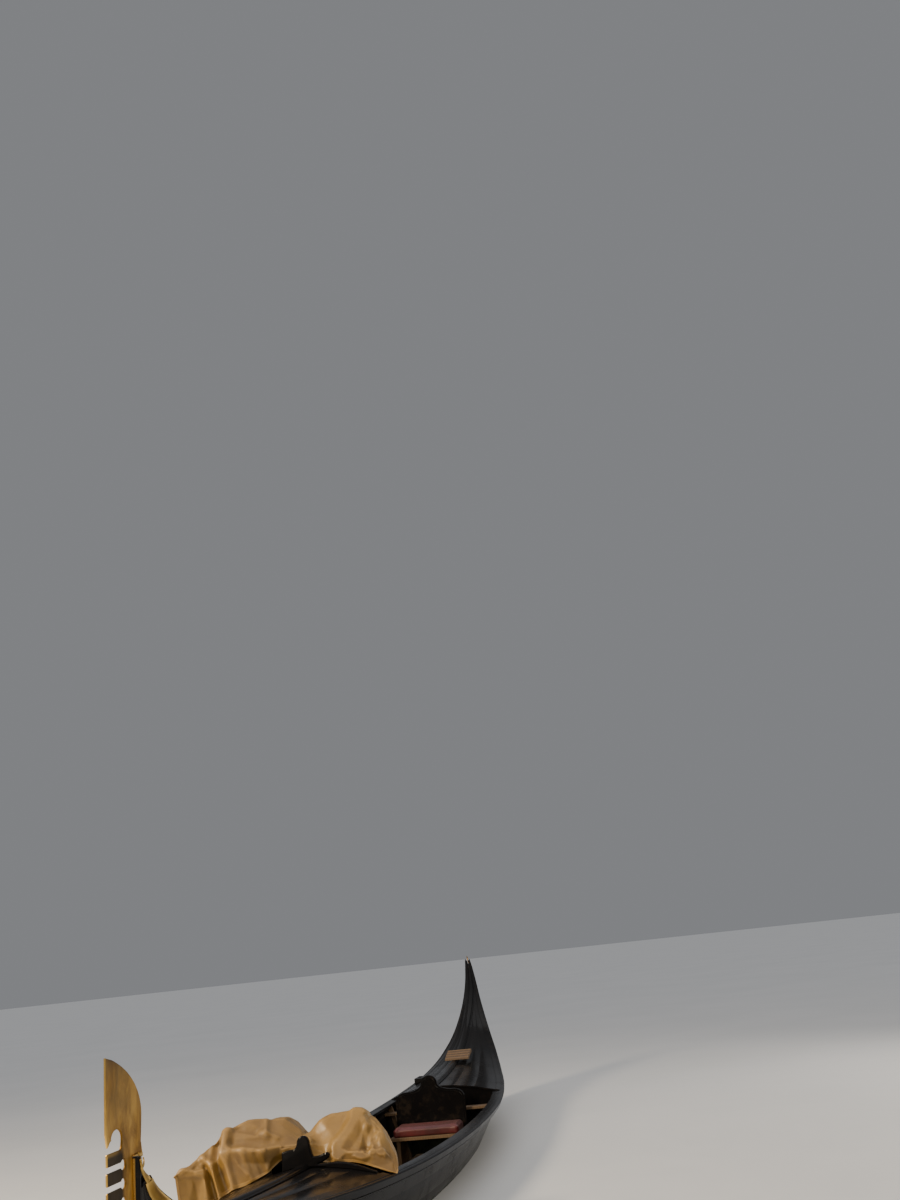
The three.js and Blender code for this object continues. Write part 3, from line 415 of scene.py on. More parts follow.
# The gap between pieces, the thickness of planks, bottom and decks, and the decks' crown per half width
GAP, PLANK, BOTTOM, DECK, CROWN = 0.3, 16, 22, 18, 0.17
FOREDECK_END, AFT_DECK_END = 2450, -2050
FOREDECK_FRONT, AFT_DECK_BACK = 5044, -5350
# Sections from one line to the next
FINE = 8
BOTH = (("port", 1), ("starboard", -1))


class Station:
    """One section across the hull; sign is 1 for port and -1 for starboard."""

    def __init__(self, values):
        self.values = list(values)
        self.x, self.z, self.port, self.star = self.values[:4]
        self.chine_x, self.chine_z, self.chine_port, self.chine_star = self.values[4:]
        self.out = (1.0, 0.0)

    def half(self, sign):
        return self.port if sign > 0 else self.star

    def chine_half(self, sign):
        return self.chine_port if sign > 0 else self.chine_star

    def depth(self):
        return math.hypot(self.x - self.chine_x, self.z - self.chine_z)

    def rail(self):
        """The rub rail's depth and width here."""
        full = min(1, 0.3 + (self.port + self.star) / 840)
        return min(62 * full, 0.6 * self.depth()), 36 * full

    def down(self, sign, share, across=0.0):
        """A point down the outside of the planking, a share of the way from sheer to chine."""
        y = self.half(sign) + (self.chine_half(sign) - self.half(sign)) * share + across
        return (self.x + (self.chine_x - self.x) * share, sign * y, self.z + (self.chine_z - self.z) * share)

    def under(self, depth, across):
        """A point square to the bottom's run, some depth outside the chine."""
        return (self.chine_x + self.out[0] * depth, across, self.chine_z + self.out[1] * depth)


def line_at(u):
    i = min(int(u), len(LINES) - 2)
    rows = (LINES[min(max(i + k, 0), len(LINES) - 1)] for k in (-1, 0, 1, 2))
    return Station([through(*column, u - i) for column in zip(*rows)])


STATIONS = [line_at(i / FINE) for i in range((len(LINES) - 1) * FINE + 1)]
for before, s, after in zip([STATIONS[0], *STATIONS], STATIONS, [*STATIONS[1:], STATIONS[-1]]):
    run = Vector((after.chine_x - before.chine_x, after.chine_z - before.chine_z)).normalized()
    s.out = (-run.y, run.x)


def between(a, b, share):
    return Station([p + (q - p) * share for p, q in zip(a.values, b.values)])


def station_at(x, line="x"):
    """The section where the sheer, or another line of the hull, passes x."""
    i = next(k for k, s in enumerate(STATIONS) if getattr(s, line) <= x)
    a, b = STATIONS[i - 1], STATIONS[i]
    return between(a, b, (x - getattr(a, line)) / (getattr(b, line) - getattr(a, line)))


def along_sheer(ring, start, end):
    """A skin through one ring of points at every station between two places along the sheer."""
    inner = [s for s in STATIONS if end + 1 < s.x < start - 1]
    return skin([ring(s) for s in (station_at(start), *inner, station_at(end))])


# Hull planking: four strakes a side, with a fine seam between strakes

STRAKE_SEAMS = (0.25, 0.5, 0.75)
SEAM_WIDE, SEAM_DEEP = 5.0, 1.6
LENGTH_NAMES = ("bow", "fore_waist", "aft_waist", "quarter", "stern")


def strakes_ring(s, sign):
    wide = min(SEAM_WIDE / s.depth(), 0.05)
    ring = [(0.0, 0.0)]
    for seam in STRAKE_SEAMS:
        ring += [(seam - wide, 0.0), (seam, -SEAM_DEEP), (seam + wide, 0.0)]
    ring += [(1.0, 0.0), (1.0, -PLANK), (0.66, -PLANK), (0.33, -PLANK), (0.0, -PLANK)]
    return [s.down(sign, share, across) for share, across in ring]


for side_name, sign in BOTH:
    stands_for = [f"{side_name}_{length}_planking" for length in LENGTH_NAMES]
    shape = skin([strakes_ring(s, sign) for s in STATIONS])
    piece(f"{side_name}_strakes", shape, BLACK, stands_for=stands_for, sharp=50)

# Rub rails: a rounded rail over a small bead

# The top in shares of the rail's width and the deck's thickness, the side in shares of its depth and width
RAIL_TOP = ((0, 1), (0.62, 1), (0.86, 0.8), (1, 0.35))
RAIL_SIDE = ((0.60, 1), (0.68, 0.72), (0.76, 0.86), (0.92, 0.86), (1, 0.6), (1, 0))


def rail_ring(s, sign):
    deep, wide = s.rail()
    base = s.half(sign) + GAP
    ring = [(s.x, sign * (base + across * wide), s.z + up * DECK) for across, up in RAIL_TOP]
    ring += [s.down(sign, down * deep / s.depth(), GAP + across * wide) for down, across in RAIL_SIDE]
    return [*ring, (s.x, sign * base, s.z)]


for side_name, sign in BOTH:
    shape = skin([rail_ring(s, sign) for s in STATIONS])
    piece(f"{side_name}_rub_rail", shape, BLACK, stands_for=[f"{side_name}_wale"], sharp=38)

# The flat bottom, of fore-and-aft boards with a seam between each two, and the posts at its ends

BOTTOM_START, BOTTOM_END = int(4.5 * FINE), 15 * FINE
BOTTOM_BOARDS = 5
BOTTOM_NODES = ["bow_bottom", "fore_waist_bottom", "aft_waist_bottom", "stern_bottom"]
STEM_HEAD = 1109


def bottom_ring(s):
    width = s.chine_port + s.chine_star
    seam = min(4, 0.02 * width)
    ring = [(GAP, s.chine_port), (GAP, -s.chine_star), (BOTTOM, -s.chine_star)]
    for k in range(1, BOTTOM_BOARDS):
        y = -s.chine_star + width * k / BOTTOM_BOARDS
        ring += [(BOTTOM, y - seam), (BOTTOM - 2, y), (BOTTOM, y + seam)]
    return [s.under(depth, y) for depth, y in (*ring, (BOTTOM, s.chine_port))]


def post_ring(s):
    """Across a post: a web between the planks and a rounded nose outside them."""
    web, nose = min(70, 0.55 * s.depth()), 0.55 * BOTTOM
    port, star = s.chine_port - PLANK - GAP, s.chine_star - PLANK - GAP
    ring = [(nose, s.chine_port), (GAP, s.chine_port), (GAP, port), (-web, port), (-web, -star)]
    ring += [(GAP, -star), (GAP, -s.chine_star), (nose, -s.chine_star)]
    ring += [(BOTTOM, -0.6 * s.chine_star), (BOTTOM, 0.6 * s.chine_port)]
    return [s.under(depth, y) for depth, y in ring]


shape = skin([bottom_ring(s) for s in STATIONS[BOTTOM_START : BOTTOM_END + 1]])
piece("bottom_boards", shape, BLACK, stands_for=BOTTOM_NODES, sharp=50)
stem_head = Station([STATIONS[0].x, STEM_HEAD - 20, 42, 42, 5132, STEM_HEAD - 4, 38, 38])
stem_head.out = (0.99, 0.14)
stem_rows = [stem_head, *STATIONS[: BOTTOM_START + 1]]
for end, rows in (("stem", stem_rows), ("stern", STATIONS[BOTTOM_END:])):
    piece(f"{end}_timber", skin([post_ring(s) for s in rows]), BLACK, stands_for=[f"{end}_post"], edge=2)

# Decks: crowned boards inside a raised margin board, with a rounded rib along the middle

RIB_HALF, RIB_HIGH = 46, 26
RIB_SECTION = ((1, 0), (1, 0.22), (0.93, 0.32), (0.80, 0.36), (0.74, 0.62), (0.55, 0.88), (0.30, 1.0))
CREST_X = (FOREDECK_END + 12, FOREDECK_END + 44)
CREST_MIDDLE = sum(CREST_X) / 2


def deck_middle(s):
    return min(0, (s.port - s.star) / 2) if s.x < -4900 else 0


def deck_half(s, side):
    return s.port - deck_middle(s) if side > 0 else s.star + deck_middle(s)


def deck_rise(s, y):
    half = deck_half(s, 1 if y >= deck_middle(s) else -1)
    return CROWN * (s.port + s.star) / 2 * (1 - ((y - deck_middle(s)) / half) ** 2)


def rib_top(x):
    s = station_at(x)
    return s.z + deck_rise(s, 0) + DECK + RIB_HIGH + 2 * GAP


def deck_ring(s):
    """Along the deck's top from port to starboard, and back along its plain underside."""
    middle = deck_middle(s)
    top = []
    for side in (1, -1):
        half = deck_half(s, side)
        margin = min(58, 0.32 * half)
        inner = half - margin
        row = [(half, 0.0), (half - 0.06 * margin, 4.0), (inner + 4, 4.0), (inner, 0.0)]
        for share in (0.66, 0.33):
            seam = min(3.5, 0.03 * half)
            row += [(inner * share + seam, 0.0), (inner * share, -1.8), (inner * share - seam, 0.0)]
        row = [(middle + side * y, up) for y, up in row]
        top += [*row, (middle, 0.0)] if side > 0 else reversed(row)
    ring = [(y, DECK + up) for y, up in top] + [(y, GAP) for y, _ in reversed(top[::3])]
    return [(s.x, y, s.z + deck_rise(s, y) + up) for y, up in ring]


def rib_ring(s):
    middle = deck_middle(s)
    base = s.z + deck_rise(s, middle) + DECK + GAP
    half = min(RIB_HALF, 0.45 * deck_half(s, -1))
    return [(s.x, middle + across * half, base + up * RIB_HIGH) for across, up in mirrored(RIB_SECTION)]


for name, ring, start, end, node, sharp in (
    ("foredeck_boards", deck_ring, FOREDECK_FRONT, FOREDECK_END, "foredeck", 32),
    ("aft_deck_boards", deck_ring, AFT_DECK_END, AFT_DECK_BACK, "aft_deck", 32),
    ("foredeck_rib", rib_ring, FOREDECK_FRONT - 10, CREST_X[1] + GAP, "foredeck_ridge", 40),
    ("aft_deck_rib", rib_ring, AFT_DECK_END, AFT_DECK_BACK + 40, "aft_deck_ridge", 40),
):
    piece(name, along_sheer(ring, start, end), BLACK, stands_for=[node], sharp=sharp)

# Outlines and plates


class Outline:
    """A closed outline in a plane, drawn with lines, curves and arcs."""

    def __init__(self, start, steps=14):
        self.points = [start]
        self.steps = steps

    def line(self, *points):
        self.points += points

    def curve(self, *pulls):
        """A curve from the last point to the last pull, bent towards the pulls before it."""
        start = self.points[-1]
        count = self.steps * (len(pulls) - 1)
        for i in range(1, count + 1):
            row = [start, *pulls]
            while len(row) > 1:
                row = [tuple(p + (q - p) * i / count for p, q in zip(a, b)) for a, b in zip(row, row[1:])]
            self.points += row

    def arc(self, centre, wide, high, start, end):
        count = max(4, round(abs(end - start) / (math.pi / (1.4 * self.steps))))
        for i in range(count + 1):
            a = start + (end - start) * i / count
            self.points.append((centre[0] + wide * math.cos(a), centre[1] + high * math.sin(a)))

    def cleaned(self):
        kept = []
        for p in self.points:
            if not kept or math.dist(p, kept[-1]) > 0.05:
                kept.append(p)
        if math.dist(kept[0], kept[-1]) < 0.05:
            kept.pop()
        return kept


def inset(outline, widths):
    """The outline moved inwards at each point by its own width."""
    area = sum(a[0] * b[1] - b[0] * a[1] for a, b in zip(outline, outline[1:] + outline[:1]))
    turn = 1 if area > 0 else -1
    moved = []
    for i, p in enumerate(outline):
        a, b = Vector(outline[i - 1]), Vector(outline[(i + 1) % len(outline)])
        into = (Vector(p) - a).normalized()
        away = (b - Vector(p)).normalized()
        square = Vector((-into.y, into.x)) * turn
        normal = Vector((-(into.y + away.y), into.x + away.x)) * turn
        if normal.length < 1e-6:
            normal = square.copy()
        normal.normalize()
        reach = min(1.6, 1 / max(0.3, normal.dot(square)))
        moved.append((p[0] + normal.x * widths[i] * reach, p[1] + normal.y * widths[i] * reach))
    return moved


def crossings(outline):
    """Pairs of edges of a closed outline that cross each other."""
    count = len(outline)
    edges = list(zip(outline, outline[1:] + outline[:1]))
    return [
        (i, j)
        for i in range(count)
        for j in range(i + 2, min(count, i + 40))
        if (j + 1) % count != i and intersect_line_line_2d(*edges[i], *edges[j])
    ]


def inset_cleanly(outline, widths):
    """The inset outline, with narrower widths where it would cross itself."""
    widths = list(widths)
    for _ in range(12):
        inner = inset(outline, widths)
        crossed = crossings(inner)
        if not crossed:
            break
        for i, j in crossed:
            for k in range(i - 1, j + 3):
                widths[k % len(widths)] *= 0.6
    return inner


def plate(outline, thick, rims, edge_thick, place):
    """A plate with a ground rim: thin at its outline, full inside it. place turns (u, v, w) into x, y, z."""
    inner = inset_cleanly(outline, rims)
    rings = ((inner, thick / 2), (outline, edge_thick / 2), (outline, -edge_thick / 2), (inner, -thick / 2))
    points, faces = skin([[place(u, v, w) for u, v in ring] for ring, w in rings])
    # Both flat faces start at the outline's first point, which settles how they are cut into triangles
    count = len(outline)
    return points, [tuple(range(count)), tuple(reversed(range(3 * count, 4 * count))), *faces[:-2]]


def stem_front(z):
    """Where the stem's face is at a height."""
    faces = [s.under(BOTTOM, 0) for s in stem_rows]
    if z >= faces[0][2]:
        return faces[0][0]
    i = next(k for k, p in enumerate(faces) if p[2] <= z)
    a, b = faces[i - 1], faces[i]
    return a[0] + (b[0] - a[0]) * (z - a[2]) / (b[2] - a[2])


# Bow iron: blade, arch, teeth and tongue in one plate

IRON_TOP, IRON_FRONT, IRON_THICK, IRON_RIM = 1600, 5435, 12, 4.5
TEETH, FIRST_TOOTH, PITCH, TOOTH_HIGH, TOOTH_LONG = 6, 438, 85, 58, 168
ROOT, BAND, ARCH_TOP, SPIKE, IRON_LOWEST = 24, 85, 340, 411, 290


def iron_outline():
    def at(aft, down):
        return (IRON_FRONT - aft, IRON_TOP - down)

    o = Outline(at(0, 0))
    o.line(at(3, SPIKE - 62), at(20, SPIKE))
    o.curve(at(52, SPIKE - 26), at(56, ARCH_TOP + 44))
    o.arc(at(112, ARCH_TOP + 46), 56, 46, 0, math.pi)
    o.curve(at(170, FIRST_TOOTH - 10), at(150, FIRST_TOOTH))
    half_slot = (PITCH - TOOTH_HIGH) / 2
    opening = math.asin(half_slot / ROOT)
    for i in range(TEETH):
        z = IRON_TOP - FIRST_TOOTH - i * PITCH
        root = stem_front(z) + BAND + ROOT - 8
        tip = root + TOOTH_LONG
        o.line((tip - 4, z), (tip, z - 6), (tip - 2, z - TOOTH_HIGH + 6), (tip - 6, z - TOOTH_HIGH))
        if i < TEETH - 1:
            o.arc((root, z - TOOTH_HIGH - half_slot), ROOT, ROOT, opening, 2 * math.pi - opening)
    last = z - TOOTH_HIGH
    o.curve((stem_front(last) + 70, last - 10), (stem_front(last - 80) + 34, last - 80))
    for k in range(1, 8):
        z = last - 80 + (IRON_LOWEST - last + 80) * k / 8
        o.line((stem_front(z) + 34 - 22 * k / 8, z))
    o.line((stem_front(IRON_LOWEST) + 10, IRON_LOWEST))
    for k in range(24):
        z = IRON_LOWEST + 4 + (STEM_HEAD - 16 - IRON_LOWEST) * k / 23
        o.line((stem_front(z) + 1.5, z))
    o.line((stem_front(STEM_HEAD) + 1.5, STEM_HEAD + 6), (5060, STEM_HEAD + 7))
    o.curve((5052, STEM_HEAD + 2), (5046, STEM_HEAD - 16))
    o.curve((5046, STEM_HEAD + 24), (5060, STEM_HEAD + 60))
    o.curve(at(382, 380), at(386, 300))
    o.curve(at(382, 205), at(300, 92), at(70, 16))
    return o.cleaned()


outline = iron_outline()
shape = plate(outline, IRON_THICK, [IRON_RIM] * len(outline), 6, lambda x, z, y: (x, y, z))
piece("bow_iron_plate", shape, IRON_GOLD, stands_for=["bow_iron"], sharp=12, edge=0.8)

# Metal along the bow: the strap on the deck's rib, the leaves on both rub rails, and what holds the iron

STRAP_FRONT, STRAP_END, STRAP_LEAF = 5032, 4300, 105
CLAD_FRONT, CLAD_END, CLAD_LEAF = 5050, 4180, 128


def around(count):
    """Angles in even steps round a circle."""
    return [math.tau * k / count for k in range(count)]


def nail(radius, place):
    """A domed nail head. place turns its two ways across and its way up into x, y, z."""
    rings = []
    for up, share in ((0, 1), (0.2, 0.9), (0.34, 0.6), (0.4, 0.25)):
        turns = [(radius * share * math.cos(a), radius * share * math.sin(a)) for a in around(10)]
        rings.append([place(a, b, radius * up) for a, b in turns])
    return skin(rings)


def leaf_spans(start, end, long):
    """The front and back of each leaf in a row of leaves."""
    while start > end + 20:
        stop = max(start - long, end)
        yield start, stop
        start = stop


def strap_half(x):
    return 13 + 15 * min(1, max(0, (5040 - x) / 240))


def ridge_strap():
    """Overlapping cast leaves that run down the rib, each raised at its after end."""
    parts = []
    for front, back in leaf_spans(STRAP_FRONT, STRAP_END, STRAP_LEAF):
        rings = []
        for k in range(9):
            x = front + (back - front) * k / 8
            half = min(strap_half(x), 0.5 * station_at(x).star)
            lift = 1.2 + 3.4 * (k / 8) ** 2
            section = mirrored([(half, 0), (half, lift + 2), (half - 4, lift + 4), (0.35 * half, lift + 3)])
            section.insert(4, (0, lift + 4.4))
            rings.append([(x, y, rib_top(x) + up) for y, up in section])
        parts.append(skin(rings))
        x = back + 14
        z = rib_top(x) + 6
        for y in (-0.6 * strap_half(x), 0.6 * strap_half(x)):
            parts.append(nail(4.5, lambda a, b, up: (x + a, y + b, z + up)))
    return join(parts)


piece("bow_rib_strap", ridge_strap(), STRAP_GOLD, stands_for=["bow_ridge_strap"], sharp=30)


def leaf_blade(base, tip, bulge, wide):
    """A slim curled leaf from base to tip, bowed to one side."""
    base, tip, bulge = Vector(base), Vector(tip), Vector(bulge)
    thick = Vector((0, 4, 0))
    rings = []
    for k in range(15):
        t = k / 14
        centre = base.lerp(tip, t) + bulge * math.sin(math.pi * t)
        along = (tip - base + bulge * math.pi * math.cos(math.pi * t)).normalized()
        across = along.cross(Vector((0, 1, 0))).normalized()
        half = wide * (0.35 + 0.65 * math.sin(math.pi * min(1, 0.25 + 0.75 * t))) * (1 if k < 14 else 0.3)
        rings.append([centre + across * half * math.cos(a) + thick * math.sin(a) for a in around(8)])
    return skin(rings)


def clad_ring(s, sign, swell, reach):
    """Across the cladding: from the rub rail's outer face down on to the planking under it."""
    deep, wide = s.rail()
    low = min(deep + reach, 0.85 * s.depth())
    outside = [(s.x, sign * (s.half(sign) + GAP + wide + 1.5), s.z + 0.35 * DECK)]
    for down, across in (
        (0.3 * deep, wide + 3.0 + 0.6 * swell),
        (0.66 * deep, 0.95 * wide + 3.0 + swell),
        (0.45 * deep + 0.55 * low, 0.45 * wide + 3.0 + swell),
        (low, 2.6),
    ):
        outside.append(s.down(sign, down / s.depth(), GAP + across))
    thickness = (2.4, 2.4 + 0.6 * swell, 2.4 + swell, 2.4 + swell, 2.2)
    inside = [(x, y - sign * thick, z) for (x, y, z), thick in zip(outside, thickness)]
    return outside + inside[::-1]


def rail_cladding(sign):
    """Overlapping cast leaves over the rub rail's bow end, each fuller and broader towards its after end."""
    parts = []
    for front, back in leaf_spans(CLAD_FRONT, CLAD_END, CLAD_LEAF):
        rings = []
        for k in range(11):
            full = math.sin(math.pi * min(1, 0.15 + 0.75 * k / 10))
            s = station_at(front + (back - front) * k / 10)
            rings.append(clad_ring(s, sign, 1 + 4 * full, 8 + 20 * full))
        parts.append(skin(rings))
        spot = Vector(clad_ring(station_at(back + 20), sign, 2, 20)[1])
        parts.append(nail(4, lambda a, b, up: spot + Vector((b, sign * (up + 1.5), a))))
    return parts


def stem_leaves(sign):
    """The cladding's upper end: a slim strip up the stem's side that opens into three pointed leaves."""
    y = sign * 43
    slope, raised = Vector((-0.7, 0, 0.71)), Vector((0, sign * 4, 0))
    strip = []
    for x, out, z, half in (
        (5137, 0, 1058, 7),
        (5122, 1, 1034, 10),
        (5100, 2, 1010, 14),
        (5076, 5, 988, 19),
        (5046, 15, 962, 23),
    ):
        middle = Vector((x, y + sign * out, z))
        section = ((1, 0), (0.5, 1), (-0.5, 1), (-1, 0), (-1, -1), (1, -1))
        strip.append([middle + slope * half * along + raised * up for along, up in section])
    return [
        skin(strip),
        leaf_blade((5132, y, 1046), (5136, 0.62 * y, 1124), (-5, sign * 3, 0), 6),
        leaf_blade((5132, y, 1046), (5108, 0.92 * y, 1096), (-8, sign * 3, -3), 6),
        leaf_blade((5132, y, 1046), (5147, 0.95 * y, 1092), (4, sign * 2, 0), 4),
    ]


for side_name, sign in BOTH:
    shape = join(rail_cladding(sign) + stem_leaves(sign))
    piece(f"{side_name}_bow_leaves", shape, STRAP_GOLD, sharp=34)


def stem_flanges():
    """Flat flanges that hold the iron to the stem's face, screwed down on both sides of the plate."""
    parts = []
    for sign in (1, -1):
        rings = []
        for k in range(31):
            z = IRON_LOWEST + 20 + (STEM_HEAD - 30 - IRON_LOWEST) * k / 30
            section = ((0.4, 6.5), (0.4, 18), (3.4, 17), (3.4, 6.5))
            rings.append([(stem_front(z) + ahead, sign * y, z) for ahead, y in section])
        parts.append(skin(rings))
        for k in range(6):
            z = IRON_LOWEST + 60 + k * 145
            spot = Vector((stem_front(z) + 3.2, sign * 12, z))
            parts.append(nail(3.6, lambda a, b, up: spot + Vector((up, b, -a))))
    return join(parts)


def iron_foot():
    """The iron's broad foot, which fills the wedge between its straight lip and the stem's sloping head."""
    rings = []
    for x in (5062, 5092, 5122, 5152):
        low = STEM_HEAD - 10 + 0.142 * (x - 5087.6)
        section = mirrored([(13, low), (15, low + 2), (15, STEM_HEAD + 4), (9, STEM_HEAD + 6.6)])
        rings.append([(x, y, z) for y, z in section])
    return skin(rings)


piece("bow_iron_flanges", stem_flanges(), STRAP_GOLD, sharp=35)
piece("bow_iron_foot", iron_foot(), STRAP_GOLD, sharp=35)

# Crest board across the foredeck's aft edge

CREST_TOP = 776
CREST_PORT, CREST_STAR = 536, -168


def crest_outline():
    o = Outline((CREST_STAR, 560), 10)
    o.line((-166, 676))
    o.curve((-120, 690), (-76, 690))
    o.curve((-52, 700), (-50, CREST_TOP - 46))
    o.arc((-2, CREST_TOP - 46), 46, 46, math.pi, 0)
    o.curve((56, 660), (70, 636))
    o.curve((110, 634), (150, 652))
    o.arc((172, 636), 20, 20, 2.3, -1.1)
    o.curve((150, 596), (112, 588))
    o.curve((100, 586), (128, 584))
    o.curve((200, 590), (300, 594), (363, 568))
    o.curve((430, 548), (480, 524), (CREST_PORT, 508))
    # The foot follows the crowned deck under it
    s = station_at(CREST_MIDDLE)
    for k in range(17):
        y = CREST_PORT + (CREST_STAR - CREST_PORT) * k / 16
        o.line((y, s.z + deck_rise(s, y) + DECK + 0.5))
    return o.cleaned()


outline = crest_outline()
rims = [2 if z < 560 else 9 for _, z in outline]
shape = plate(outline, CREST_X[1] - CREST_X[0], rims, 20, lambda y, z, x: (CREST_MIDDLE + x, y, z))
piece("crest_board", shape, BLACK, stands_for=["foredeck_crest"], sharp=28, edge=1.5)

# Cap boards beside the cockpit

CAP_SECTION = (
    (0, GAP), (0, 18), (4, 22), (20, 22), (23, 19.5), (26, 22),
    (88, 22), (93, 18), (95, 12), (92, 6), (95, GAP),
)


def cap_ring(s, sign):
    return [(s.x, sign * (s.half(sign) - across), s.z + up) for across, up in CAP_SECTION]


for side_name, sign in BOTH:
    shape = along_sheer(lambda s: cap_ring(s, sign), FOREDECK_END - GAP, AFT_DECK_END + GAP)
    piece(f"{side_name}_cap_board", shape, BLACK, stands_for=[f"{side_name}_coaming"], sharp=32)

# Floorboards: planed boards on cleats, with narrow gaps

BOARD_COUNT = 7
FLOOR_FRONT, FLOOR_BACK, FLOOR_STEPS = 2340, -1980, 60
FLOOR_INSET = PLANK + 45 + 8
FLOOR_UP = 55 + 3 * GAP
CLEATS = (2300, 1330, 750, 170, -410, -990, -1570, -1950)


def floor_boards():
    boards = [[] for _ in range(BOARD_COUNT)]
    for k in range(FLOOR_STEPS + 1):
        x = FLOOR_FRONT - k * (FLOOR_FRONT - FLOOR_BACK) / FLOOR_STEPS
        s = station_at(x, "chine_x")
        low = FLOOR_INSET - s.chine_star
        wide = (s.chine_port - FLOOR_INSET - low) / BOARD_COUNT
        for number, rings in enumerate(boards):
            y0, y1 = low + wide * number + 3, low + wide * (number + 1) - 3
            section = ((y0, 0), (y0, 15), (y0 + 3, 18), (y1 - 3, 18), (y1, 15), (y1, 0))
            rings.append([(x, y, s.chine_z + FLOOR_UP + up) for y, up in section])
    parts = [skin(rings) for rings in boards]
    for x in CLEATS:
        s = station_at(x, "chine_x")
        top = s.chine_z + FLOOR_UP - 0.4
        y0, y1 = FLOOR_INSET - s.chine_star + 6, s.chine_port - FLOOR_INSET - 6
        section = ((y0, top - 11.6), (y0, top), (y1, top), (y1, top - 11.6))
        parts.append(skin([[(x + ahead, y, z) for y, z in section] for ahead in (-25, 25)]))
    return join(parts)


piece("floor_boards", floor_boards(), WOOD, stands_for=["floorboards"], sharp=30)

# Seat back: a scrolled board with an eased edge and a bead round its front face

BACK_X, BACK_FOOT, BACK_THICK = -1640, 170 + GAP, 30
BACK_Y = (-330, 430)
BEAD = ((20, 14.6), (21.4, 16.6), (24, 17.4), (26.6, 16.6), (28, 14.6))


def seat_back():
    y0, y1 = BACK_Y
    middle = (y0 + y1) / 2
    o = Outline((y0, BACK_FOOT), 12)
    o.line((y0, 470))
    o.curve((y0 + 20, 560), (y0 + 130, 560))
    o.curve((middle - 120, 565), (middle - 90, 620))
    o.arc((middle, 620), 90, 90, math.pi, 0)
    o.curve((middle + 120, 565), (y1 - 130, 560))
    o.curve((y1 - 20, 560), (y1, 470))
    o.line((y1, BACK_FOOT))
    outline = o.cleaned()

    def place(u, v, w):
        return (BACK_X + BACK_THICK / 2 + w, u, v)

    board = plate(outline, BACK_THICK, [4.5] * len(outline), 22, place)
    insets = [(inset_cleanly(outline, [inwards] * len(outline)), w) for inwards, w in BEAD]
    bead = skin([[place(u, v, w) for u, v in ring] for ring, w in insets], loop=True)
    return join([board, bead])


piece("scrolled_seat_back", seat_back(), BLACK, stands_for=["seat_back"], sharp=32)

# Carried-over nodes

dress([f"frame_{k}" for k in range(1, 9)], WOOD, 2.5)
dress(["fore_thwart", "aft_thwart", "seat_bench", "foot_rest"], WOOD, 2.5)
dress(["bow_locker_bulkhead", "stern_locker_bulkhead", "port_chair", "starboard_chair"], BLACK, 2.5)
dress(["bow_locker_door", "stern_locker_door", "oarlock_block"], BLACK, 1.8)
dress(["bow_locker_hinge", "stern_locker_hinge", "bow_locker_knob", "stern_locker_knob"], BRASS, 0.8)
dress(["stern_iron"], STRAP_GOLD, 1.5)

# The canvas cover, thrown askew over the two chairs and the bow end of the cockpit. Each row of points
# [x, y, z] runs from the port edge to the starboard edge, the first row along the front hem and the last aft.

COVER_ROWS = [
    [
        [2415, 665, 475], [2412, 600, 492], [2410, 520, 520], [2405, 430, 548], [2400, 340, 568],
        [2400, 220, 578], [2410, 90, 592], [2430, -50, 660], [2442, -196, 620], [2535, -262, 562],
        [2590, -406, 503], [2600, -520, 476], [2610, -640, 415], [2640, -760, 380], [2670, -880, 380],
    ],
    [
        [2408, 668, 487], [2385, 625, 545], [2360, 540, 612], [2345, 450, 662], [2335, 350, 700],
        [2335, 210, 705], [2360, 70, 700], [2420, -60, 715], [2448, -196, 712], [2530, -300, 705],
        [2550, -430, 718], [2560, -600, 716], [2600, -700, 608], [2650, -800, 602], [2690, -900, 598],
    ],
    [
        [2395, 672, 494], [2330, 645, 578], [2270, 560, 700], [2200, 470, 795], [2150, 350, 866],
        [2140, 200, 874], [2170, 70, 832], [2240, -62, 765], [2270, -215, 878], [2300, -340, 896],
        [2360, -480, 890], [2440, -600, 845], [2520, -720, 748], [2620, -840, 655], [2700, -905, 606],
    ],
    [
        [2200, 604, 490], [2150, 570, 590], [2100, 505, 700], [2060, 430, 780], [2030, 330, 838],
        [2020, 200, 846], [2040, 60, 810], [2080, -80, 752], [2110, -220, 850], [2130, -340, 862],
        [2170, -450, 850], [2250, -570, 790], [2330, -670, 680], [2420, -740, 540], [2480, -790, 400],
    ],
    [
        [1800, 455, 440], [1780, 420, 490], [1760, 380, 520], [1740, 330, 545], [1720, 280, 560],
        [1715, 180, 565], [1720, 60, 560], [1740, -80, 560], [1760, -200, 570], [1790, -310, 575],
        [1840, -400, 565], [1900, -478, 520], [1980, -570, 470], [2060, -604, 340], [2120, -626, 210],
    ],
    [
        [1500, 390, 160], [1480, 350, 150], [1470, 310, 140], [1460, 260, 140], [1460, 210, 140],
        [1460, 120, 140], [1465, 30, 145], [1480, -80, 160], [1500, -180, 190], [1530, -280, 250],
        [1580, -360, 350], [1620, -452, 486], [1660, -588, 462], [1720, -622, 330], [1780, -640, 190],
    ],
    [
        [1180, 300, -112], [1170, 280, -112], [1160, 240, -112], [1160, 200, -112], [1160, 150, -112],
        [1160, 80, -112], [1165, 0, -110], [1180, -80, -100], [1200, -170, -50], [1230, -260, 60],
        [1270, -350, 250], [1310, -448, 470], [1350, -606, 456], [1400, -634, 330], [1450, -650, 200],
    ],
]
